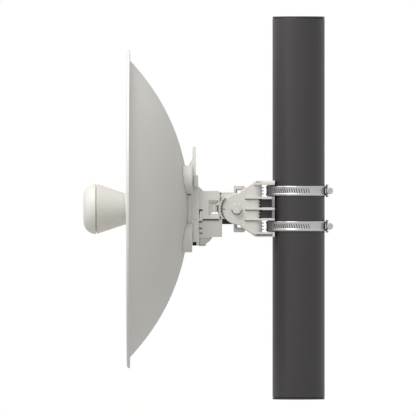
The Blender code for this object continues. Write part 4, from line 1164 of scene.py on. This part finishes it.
def channel_outline():
    """Plan view of the bracket: two cheeks joined by a wall with rounded outer corners."""
    round_x = WALL_RIGHT_X - WALL_ROUND
    round_y = CHEEK_OUTER_Y - WALL_ROUND
    half = [(-110.0 * MM, CHEEK_INNER_Y), (-110.0 * MM, CHEEK_OUTER_Y)]
    half += arc((round_x, round_y), WALL_ROUND, 90.0, 0.0, 14)
    inner = arc((WALL_LEFT_X - 3.0 * MM, CHEEK_INNER_Y - 3.0 * MM), 3.0 * MM, 0.0, 90.0, 5)
    return half + mirrored(half) + mirrored(inner) + inner


def rib(x_range, z_range, edge, nose=1.0 * MM, tail=0.0, outer_y=RIB_OUTER_Y):
    """A rib that wraps both cheeks, tapered at its left end and rounded at its right where asked."""
    left, right = x_range
    inner_y = CHEEK_INNER_Y + 1.0 * MM
    inner_x = WALL_LEFT_X + 3.0 * MM
    far = [(left, CHEEK_OUTER_Y - 0.5 * MM, 0.0), (left + nose, outer_y, 0.6 * MM), (right, outer_y, tail)]
    near = [(first, -second, radius) for first, second, radius in reversed(far)]
    inner = [(left, -inner_y, 0.0), (inner_x, -inner_y, 0.0), (inner_x, inner_y, 0.0), (left, inner_y, 0.0)]
    bm = prism(rounded(far + near + inner, steps=5), "Z", *z_range)
    return ease(bm, edge, 2, picks=lambda e: min(abs(v.co.y) for v in e.verts) > CHEEK_OUTER_Y
                and abs(e.verts[0].co.z - e.verts[1].co.z) < 0.1 * MM)


def gullets(foot, top, start):
    """Heights of the gaps between the teeth at a cell's left side."""
    ranges = []
    level = foot + start
    while level < top - 0.5 * MM:
        ranges.append((level, min(top, level + TOOTH_PITCH - TOOTH_HEIGHT)))
        level += TOOTH_PITCH
    return ranges


def make_bracket(shape):
    """The bracket: cheeks, toothed wall, ribs, end plates, posts and the bands' bearing blocks."""
    channel = prism(channel_outline(), "Z", BRACKET_LOW.z - 1.0 * MM, BRACKET_HIGH.z + 1.0 * MM)
    bracket = solid("cast_bracket", channel)
    side_y = CHEEK_OUTER_Y + 0.03 * MM
    combine(bracket, "INTERSECT", [ease(prism(cheek_outline(), "Y", -side_y, side_y),
                                        shape.cast_edge, 1, least=50.0)])

    edge = 0.35 * MM
    plate_left = WALL_LEFT_X + 1.0 * MM
    width = CHEEK_OUTER_Y - 0.1 * MM
    lid = block((plate_left, BRACKET_RIGHT_X), (-width, width), (TOP_PLATE_Z, BRACKET_HIGH.z))
    ease(lid, 2.4 * MM, 5, picks=lambda edge_: level_in_y(edge_)
         and min(vert.co.z for vert in edge_.verts) > TOP_PLATE_Z + MM)
    parts = [lid, block((plate_left, BRACKET_RIGHT_X), (-width, width), (BRACKET_LOW.z, FOOT_PLATE_Z))]
    right = BRACKET_RIGHT_X - 0.1 * MM
    parts.append(rib((RIB_LEFT_X, POST_LEFT_X + 0.3 * MM), RIB_LEVELS[0], edge, tail=3.2 * MM))
    parts.append(rib((RIB_LEFT_X, right), RIB_LEVELS[1], edge))
    parts.append(rib((RIB_LEFT_X, right), RIB_LEVELS[2], edge))
    parts.append(rib((-60.3 * MM, right), (TOP_PLATE_Z - 0.2 * MM, TOP_PLATE_Z + 2.7 * MM), edge,
                     nose=1.8 * MM))
    parts.append(rib((-60.0 * MM, POST_LEFT_X + 0.3 * MM), (FOOT_PLATE_Z - 2.5 * MM, FOOT_PLATE_Z - 0.1 * MM),
                     edge, tail=3.2 * MM))
    parts.append(rib((-57.3 * MM, POST_LEFT_X + 0.15 * MM),
                     (BRACKET_LOW.z + 0.12 * MM, BRACKET_LOW.z + 1.25 * MM), edge, outer_y=28.2 * MM))
    for post, foot_post in zip(both_sides(POST_INNER_Y, POST_OUTER_Y),
                               both_sides(POST_INNER_Y, CHEEK_OUTER_Y + 0.8 * MM)):
        parts.append(block((POST_LEFT_X, BRACKET_RIGHT_X - 0.2 * MM), post,
                           (RIB_LEVELS[2][0] + 0.5 * MM, RIB_LEVELS[0][1] - 0.2 * MM), edge))
        parts.append(block((POST_LEFT_X, BRACKET_RIGHT_X - 0.2 * MM), foot_post,
                           (BRACKET_LOW.z + 0.4 * MM, FOOT_PLATE_Z - 0.2 * MM), edge))
    block_left = BAND_CROSSING_X + BAND_THICK / 2 + GAP
    corner = 2.3 * MM
    bearing = arc((block_left + corner, BAND_CORNER_Y), corner, 180.0, 90.0, 8)
    bearing.append((BRACKET_RIGHT_X - 0.3 * MM, BAND_CORNER_Y + corner))
    bearing = bearing + mirrored(bearing)
    parts.append(prism(bearing, "Z", RIB_LEVELS[0][1] - 0.6 * MM, TOP_PLATE_Z + 0.6 * MM))
    parts.append(prism(bearing, "Z", FOOT_PLATE_Z - 0.6 * MM, RIB_LEVELS[2][0] + 0.6 * MM))
    combine(bracket, "UNION", parts)

    seat = POLE_RADIUS + GAP
    hole = BOLT_RADIUS + GAP
    cuts = [rod("Z", 200.0 * MM, 300.0 * MM, seat, ORIGIN, 160),
            rod("Y", -40.0 * MM, 40.0 * MM, hole, PIVOT, 48)]
    for foot, top, start in CELLS:
        for y_range in both_sides(19.0 * MM, RIB_OUTER_Y + 1.0 * MM):
            cuts.append(block((PAD_LEFT_X + 1.6 * MM, WALL_RIGHT_X + 1.0 * MM), y_range, (foot, top)))
            for z_range in gullets(foot, top, start):
                cuts.append(block((PAD_LEFT_X, PAD_LEFT_X + 2.0 * MM), y_range, z_range))
    for number, (foot, top) in enumerate(RIB_LEVELS):
        for y_range in both_sides(CHEEK_OUTER_Y - 3.8 * MM, CHEEK_OUTER_Y + 0.3 * MM):
            x_range = (RIB_LEFT_X + 0.6 * MM, PAD_LEFT_X + (-0.3 * MM if number else 1.0 * MM))
            cuts.append(block(x_range, y_range, (foot - RIB_GROOVE, foot)))
    for y_range in both_sides(CHEEK_OUTER_Y - 2.6 * MM, CHEEK_OUTER_Y + 1.0 * MM):
        recess = hexagon(BOLT_HEAD_RADIUS + BOLT_RECESS)
        cuts.append(prism(shifted(recess[3:] + recess[:1], 0.0, -BOLT_RECESS_DROP), "Y", *y_range))
    for slit, pocket, mark in zip(both_sides(22.0 * MM, CHEEK_OUTER_Y + 0.3 * MM),
                                  both_sides(23.4 * MM, 27.0 * MM),
                                  both_sides(CHEEK_OUTER_Y - 0.6 * MM, CHEEK_OUTER_Y + 1.0 * MM)):
        cuts.append(block((-55.0 * MM, POST_LEFT_X - GAP), slit,
                          (BRACKET_LOW.z + 1.3 * MM, FOOT_PLATE_Z - 2.6 * MM)))
        cuts.append(block((-56.6 * MM, -49.5 * MM), pocket, (285.8 * MM, 287.0 * MM)))
        cuts.append(block((PIVOT.x - 20.5 * MM, PIVOT.x - 14.8 * MM), mark,
                          (PIVOT.z - 0.85 * MM, PIVOT.z + 0.25 * MM)))
    combine(bracket, "DIFFERENCE", cuts)
    dress(bracket, finish_of("pale_moulding"), "pole_bracket")

    index = []
    for y_range in both_sides(CHEEK_OUTER_Y - 0.6 * MM, CHEEK_OUTER_Y - 0.1 * MM):
        index.append(block((PIVOT.x - 18.6 * MM, PIVOT.x - 14.9 * MM), y_range,
                           (PIVOT.z - 0.80 * MM, PIVOT.z + 0.20 * MM)))
    add_detail(solid("scale_index", joined(index)), finish_of("scale_ink"), "pole_bracket")

    # The wall's teeth are part of the pale casting; they get the dark rubber colour as painted shade, since
    # they sit in shade between the cheeks
    teeth = []
    for node in ("clamp_band_upper", "clamp_band_lower"):
        level = (low_of(node).z + high_of(node).z) / 2
        for step in (-1, 0, 1):
            middle = level + step * TOOTH_PITCH
            teeth.append(block((WALL_RIGHT_X + 0.1 * MM, TOOTH_TIP_X), (-17.0 * MM, 17.0 * MM),
                               (middle - COMB_HEIGHT / 2, middle + COMB_HEIGHT / 2), 0.25 * MM))
    add_detail(solid("wall_teeth_painted_shade", joined(teeth)), finish_of("black_rubber"), "pole_bracket")


def make_pads(shape):
    """The two jaw pads that fill the bracket's middle cells, grooved across; their dark colour, fingers
    included, is painted shade for the deep cells.
    """
    for node, name, cell in (("jaw_pad_upper", "jaw_insert_upper", CELLS[0]),
                             ("jaw_pad_lower", "jaw_insert_lower", CELLS[1])):
        low, high = low_of(node), high_of(node)
        pad = solid(name, block((low.x, high.x), (low.y, high.y), (low.z, high.z), 0.4 * MM))
        wings = []
        for wing, finger in zip(both_sides(19.6 * MM, high.y - 0.2 * MM),
                                both_sides(19.6 * MM, high.y - 1.2 * MM)):
            wings.append(block((PAD_LEFT_X + 2.0 * MM, low.x + 1.0 * MM), wing, (low.z, high.z), 0.3 * MM))
            for foot, top in gullets(*cell):
                wings.append(block((PAD_LEFT_X + 0.2 * MM, PAD_LEFT_X + 2.6 * MM), finger,
                                   (foot + 0.2 * MM, top - 0.2 * MM)))
        combine(pad, "UNION", wings)
        grooves = []
        for y_range in both_sides(high.y - 0.7 * MM, high.y + 1.0 * MM):
            for x in (-39.6 * MM, -37.6 * MM):
                grooves.append(block((x, x + 0.5 * MM), y_range, (low.z + 1.4 * MM, high.z - 1.4 * MM)))
        combine(pad, "DIFFERENCE", grooves)
        dress(pad, finish_of("black_rubber"), node)


# Worm-drive clamps

def band_section(height):
    """The strip's cross-section as (outward, up) pairs: flat, with a raised rounded edge at each side."""
    inner = -BAND_THICK / 2
    outer = BAND_THICK / 2
    bead = 0.55 * MM
    half = [(inner, height / 2 - 0.3 * MM), (inner + 0.3 * MM, height / 2)]
    half += arc((outer + bead - 1.1 * MM, height / 2 - 1.1 * MM), 1.1 * MM, 90.0, 0.0, 5)
    half += [(outer + bead, height / 2 - 2.2 * MM), (outer + bead * 0.5, height / 2 - 2.9 * MM),
             (outer, height / 2 - 3.3 * MM)]
    return half + mirrored(half)


def make_band(level, height, shape):
    """A strip swept round the pole and across the bracket, cut by leaning slots."""
    pole = POLE_RADIUS + GAP + BAND_THICK / 2
    corner_x = BAND_CROSSING_X + BAND_CORNER
    lean = math.acos((pole - BAND_CORNER) / math.hypot(corner_x, BAND_CORNER_Y))
    leave = math.atan2(BAND_CORNER_Y, corner_x) - lean
    bm = bmesh.new()
    section = [bm.verts.new((pole + outward, 0.0, level + up)) for outward, up in band_section(height)]
    ring = [bm.edges.new((section[i - 1], section[i])) for i in range(len(section))]
    bmesh.ops.rotate(bm, verts=section, cent=(0, 0, 0), matrix=Matrix.Rotation(-leave, 3, "Z"))

    def swept(geom, centre, angle, steps):
        made = bmesh.ops.spin(bm, geom=geom, cent=centre, axis=(0, 0, 1), angle=angle, steps=steps,
                              use_merge=False, use_duplicate=False)
        return only(made["geom_last"], bmesh.types.BMVert, bmesh.types.BMEdge)

    def pushed(geom, offset):
        made = bmesh.ops.extrude_edge_only(bm, edges=only(geom, bmesh.types.BMEdge))["geom"]
        bmesh.ops.translate(bm, verts=only(made, bmesh.types.BMVert), vec=offset)
        return only(made, bmesh.types.BMVert, bmesh.types.BMEdge)

    geom = swept(section + ring, (0.0, 0.0, 0.0), 2 * leave, 120)
    corner = Vector((corner_x, BAND_CORNER_Y, 0.0))
    outward = Vector((math.cos(leave), math.sin(leave), 0.0))
    geom = pushed(geom, corner + outward * BAND_CORNER - outward * pole)
    geom = swept(geom, corner, math.pi - leave, 10)
    geom = pushed(geom, Vector((0.0, -2 * BAND_CORNER_Y, 0.0)))
    far_corner = Vector((corner_x, -BAND_CORNER_Y, 0.0))
    geom = swept(geom, far_corner, math.pi - leave, 10)
    back = Vector((outward.x, -outward.y, 0.0))
    pushed(geom, back * pole - far_corner - back * BAND_CORNER)
    bmesh.ops.remove_doubles(bm, verts=bm.verts, dist=0.01 * MM)
    bmesh.ops.recalc_face_normals(bm, faces=bm.faces)
    band = solid("band", bm)

    slots = []
    wrap = pole * leave
    count = int((wrap + BAND_SLOT_RUN) / shape.slot_pitch)
    for number in range(-count, count + 1):
        length = number * shape.slot_pitch
        if -BAND_BLANK * pole < length < BAND_BLANK * pole:
            continue
        on_pole = max(-wrap, min(wrap, length))
        through = length < -BAND_PLAIN * pole or length > BAND_BLANK * pole
        slot = block((pole - 1.2 * MM if through else pole + 0.1 * MM, pole + 1.2 * MM),
                     (-SLOT_HALF_WIDTH, SLOT_HALF_WIDTH), (-SLOT_HALF_HEIGHT, SLOT_HALF_HEIGHT))
        ease(slot, 0.45 * MM, 2, picks=lambda edge: abs(edge.verts[0].co.x - edge.verts[1].co.x) > GAP)
        place = (Matrix.Rotation(on_pole / pole, 4, "Z")
                 @ Matrix.Translation((0.0, length - on_pole, level))
                 @ Matrix.Rotation(SLOT_LEAN, 4, "X"))
        bmesh.ops.transform(slot, matrix=place, verts=slot.verts)
        slots.append(slot)
    combine(band, "DIFFERENCE", [joined(slots)])
    return band


def make_clamps(shape):
    """Two worm-drive clamps: perforated band, screw housing with feet, and screw."""
    for end in ("upper", "lower"):
        low, high = low_of("clamp_band_" + end), high_of("clamp_band_" + end)
        level = (low.z + high.z) / 2
        band = make_band(level, high.z - low.z, shape)
        band.name = "slotted_band_" + end
        dress(band, finish_of("clamp_steel"), "clamp_band_" + end, sharp=30.0)

        base = low_of("clamp_housing_" + end)
        top = high_of("clamp_housing_" + end)
        screw_line = Vector((SCREW_X, 0.0, level))
        # The saddle gets the dark copy of the plated steel as painted shade
        saddle = block((base.x + 0.3 * MM, base.x + 1.7 * MM), (-SADDLE_WIDTH, SADDLE_WIDTH),
                       (base.z, top.z), 0.4 * MM)
        add_detail(solid("screw_saddle_" + end, saddle), finish_of("saddle_steel"), "clamp_housing_" + end)
        tunnel = rounded([(-8.0 * MM, 0.0, 0.0), (-8.0 * MM, 4.5 * MM, 0.5 * MM),
                          (8.0 * MM, 4.5 * MM, 0.5 * MM), (8.0 * MM, 0.0, 0.0)])
        housing = solid("screw_box_" + end, turned(tunnel, "Y", screw_line, 48))
        parts = []
        for side in (-1.0, 1.0):
            z_range = sorted((level + side * 6.2 * MM, level + side * 8.4 * MM))
            parts.append(block((base.x + 1.8 * MM, base.x + 3.7 * MM),
                               (-SADDLE_WIDTH, SADDLE_WIDTH), z_range, 0.5 * MM))
            web = sorted((level + side * 2.0 * MM, level + side * 6.6 * MM))
            parts.append(block((base.x + 1.8 * MM, base.x + 2.8 * MM), (-7.6 * MM, 7.6 * MM), web, 0.3 * MM))
        combine(housing, "UNION", parts)
        combine(housing, "DIFFERENCE", [rod("Y", -12.0 * MM, 12.0 * MM, 3.3 * MM, screw_line, 48)])
        dress(housing, finish_of("plated_steel"), "clamp_housing_" + end)

        head_back = -9.3 * MM
        head = head_back - 5.5 * MM
        radius = SCREW_HEAD_RADIUS
        profile = [(head + 0.7 * MM, 0.0), (head + 0.7 * MM, 0.5 * MM), (head + 0.2 * MM, 0.9 * MM),
                   (head + 0.2 * MM, 1.9 * MM), (head, 2.1 * MM), (head, radius - 0.9 * MM)]
        profile += arc((head + 0.9 * MM, radius - 0.9 * MM), 0.9 * MM, 180.0, 90.0, 4)[1:]
        profile += [(head_back - 0.3 * MM, radius), (head_back, radius - 0.3 * MM), (head_back, 3.0 * MM)]
        position = -7.5 * MM
        while position < 7.0 * MM:
            profile += [(position, SCREW_RADIUS), (position + 0.6 * MM, SCREW_RADIUS - THREAD_DEPTH),
                        (position + 1.2 * MM, SCREW_RADIUS)]
            position += THREAD_PITCH
        profile += [(9.1 * MM, 3.0 * MM), (9.5 * MM, 2.6 * MM), (9.5 * MM, 0.0)]
        screw = solid("worm_screw_" + end, turned(profile, "Y", screw_line, 48))
        dress(screw, finish_of("plated_steel"), "clamp_screw_" + end)


# Stage

def make_stage(settings):
    """White floor and surroundings, a softbox, a strip light and the long-lens camera."""
    scene = bpy.context.scene
    bm = bmesh.new()
    bmesh.ops.create_circle(bm, cap_ends=True, segments=64, radius=FLOOR_RADIUS)
    bmesh.ops.translate(bm, verts=bm.verts, vec=(0.0, 0.0, -0.2 * MM))
    floor = solid("floor", bm)
    paper = bpy.data.materials.new("floor_paper")
    paper.use_nodes = True
    tree = paper.node_tree
    tree.nodes.remove(tree.nodes["Principled BSDF"])
    seen = add_node(tree, "ShaderNodeLightPath", {}, {})
    strength = settings.below + (1.0 - settings.below) * seen
    glow = add_node(tree, "ShaderNodeEmission", {},
                    {"Color": (1.0, 1.0, 0.995, 1.0), "Strength": strength})
    tree.links.new(glow.socket, tree.nodes["Material Output"].inputs["Surface"])
    floor.data.materials.append(paper)

    world = bpy.data.worlds.new("white_room")
    scene.world = world
    world.use_nodes = True
    tree = world.node_tree
    background = tree.nodes["Background"]
    background.inputs["Color"].default_value = (1.0, 1.0, 1.0, 1.0)
    seen = add_node(tree, "ShaderNodeLightPath", {}, {})
    strength = settings.ambient + (1.0 - settings.ambient) * seen
    tree.links.new(strength.socket, background.inputs["Strength"])

    for name, direction, distance, size, power in (
            ("softbox", Vector((-0.44, -0.44, 0.78)), 1.9, (1.0, 1.0), settings.key_power),
            ("strip", Vector((-0.75, -0.66, 0.05)), 2.2, (0.5, 1.2), settings.strip_power)):
        lamp = bpy.data.lights.new(name, "AREA")
        lamp.shape = "RECTANGLE"
        lamp.size, lamp.size_y = size
        lamp.energy = power
        light = bpy.data.objects.new(name, lamp)
        light.location = LIGHT_AIM + direction.normalized() * distance
        light.rotation_mode = "QUATERNION"
        light.rotation_quaternion = (-direction).to_track_quat("-Z", "Y")
        light.visible_camera = False
        scene.collection.objects.link(light)

    camera_data = bpy.data.cameras.new("camera")
    camera_data.sensor_width = 36.0
    camera_data.lens = camera_data.sensor_width * settings.distance / settings.frame_width
    camera_data.clip_end = 100.0
    camera = bpy.data.objects.new("camera", camera_data)
    camera.location = (CAMERA_X, -settings.distance, CAMERA_Z)
    camera.rotation_euler = (math.radians(90.0), 0.0, 0.0)
    scene.collection.objects.link(camera)
    scene.camera = camera
    scene.view_settings.view_transform = "Standard"


# Operators

class DISH_OT_pole(bpy.types.Operator):
    """Make the tube and its plugs"""
    bl_idname = "dish.pole"
    bl_label = "Pole"

    def execute(self, context):
        make_pole(context.scene.dish_shape)
        return {"FINISHED"}


class DISH_OT_reflector(bpy.types.Operator):
    """Make the pressed reflector"""
    bl_idname = "dish.reflector"
    bl_label = "Reflector"

    def execute(self, context):
        make_reflector(context.scene.dish_shape)
        return {"FINISHED"}


class DISH_OT_feed(bpy.types.Operator):
    """Make the feed's cap, cone, neck and collar"""
    bl_idname = "dish.feed"
    bl_label = "Feed"

    def execute(self, context):
        make_feed(context.scene.dish_shape)
        return {"FINISHED"}


class DISH_OT_hub(bpy.types.Operator):
    """Make the hub, its back plate, seal and lock"""
    bl_idname = "dish.hub"
    bl_label = "Hub"

    def execute(self, context):
        make_hub(context.scene.dish_shape)
        make_rear_plate(context.scene.dish_shape)
        make_lock(context.scene.dish_shape)
        return {"FINISHED"}


class DISH_OT_housing(bpy.types.Operator):
    """Make the windowed housing, its latch, cover and cable outlet"""
    bl_idname = "dish.housing"
    bl_label = "Housing"

    def execute(self, context):
        make_housing(context.scene.dish_shape)
        make_cover(context.scene.dish_shape)
        make_outlet(context.scene.dish_shape)
        return {"FINISHED"}


class DISH_OT_arm(bpy.types.Operator):
    """Make the tilt arm with its scale, and the dark liner that paints shade under it"""
    bl_idname = "dish.arm"
    bl_label = "Tilt arm"

    def execute(self, context):
        make_arm(context.scene.dish_shape)
        make_liner(context.scene.dish_shape)
        return {"FINISHED"}


class DISH_OT_pivot(bpy.types.Operator):
    """Make the tilt bolt, washer and nut"""
    bl_idname = "dish.pivot"
    bl_label = "Pivot bolt"

    def execute(self, context):
        make_pivot(context.scene.dish_shape)
        return {"FINISHED"}


class DISH_OT_bracket(bpy.types.Operator):
    """Make the pole bracket and its jaw pads"""
    bl_idname = "dish.bracket"
    bl_label = "Pole bracket"

    def execute(self, context):
        make_bracket(context.scene.dish_shape)
        make_pads(context.scene.dish_shape)
        return {"FINISHED"}


class DISH_OT_clamps(bpy.types.Operator):
    """Make the two worm-drive clamps"""
    bl_idname = "dish.clamps"
    bl_label = "Clamps"

    def execute(self, context):
        make_clamps(context.scene.dish_shape)
        return {"FINISHED"}


class DISH_OT_stage(bpy.types.Operator):
    """Make the floor, lights and camera"""
    bl_idname = "dish.stage"
    bl_label = "Stage"

    def execute(self, context):
        make_stage(context.scene.dish_stage)
        return {"FINISHED"}


OPERATORS = (DISH_OT_pole, DISH_OT_reflector, DISH_OT_feed, DISH_OT_hub, DISH_OT_housing, DISH_OT_arm,
             DISH_OT_pivot, DISH_OT_bracket, DISH_OT_clamps, DISH_OT_stage)
SETTINGS = {"dish_shape": DishShapeSettings, "dish_finish": DishFinishSettings,
            "dish_stage": DishStageSettings}


class DISH_PT_panel(bpy.types.Panel):
    """Lists the settings and the operators"""
    bl_label = "Dish antenna"
    bl_space_type = "VIEW_3D"
    bl_region_type = "UI"
    bl_category = "Dish"

    def draw(self, context):
        for name, group in SETTINGS.items():
            box = self.layout.box()
            for key in group.__annotations__:
                box.prop(getattr(context.scene, name), key)
        for operator in OPERATORS:
            self.layout.operator(operator.bl_idname)


def register():
    for group in SETTINGS.values():
        bpy.utils.register_class(group)
    for name, group in SETTINGS.items():
        setattr(bpy.types.Scene, name, PointerProperty(type=group))
    for operator in OPERATORS:
        bpy.utils.register_class(operator)
    bpy.utils.register_class(DISH_PT_panel)


def unregister():
    bpy.utils.unregister_class(DISH_PT_panel)
    for operator in reversed(OPERATORS):
        bpy.utils.unregister_class(operator)
    for name, group in SETTINGS.items():
        delattr(bpy.types.Scene, name)
        bpy.utils.unregister_class(group)


def main():
    register()
    bpy.ops.dish.pole()
    bpy.ops.dish.reflector()
    bpy.ops.dish.feed()
    bpy.ops.dish.hub()
    bpy.ops.dish.housing()
    bpy.ops.dish.arm()
    bpy.ops.dish.pivot()
    bpy.ops.dish.bracket()
    bpy.ops.dish.clamps()
    bpy.ops.dish.stage()


if __name__ == "__main__":
    main()
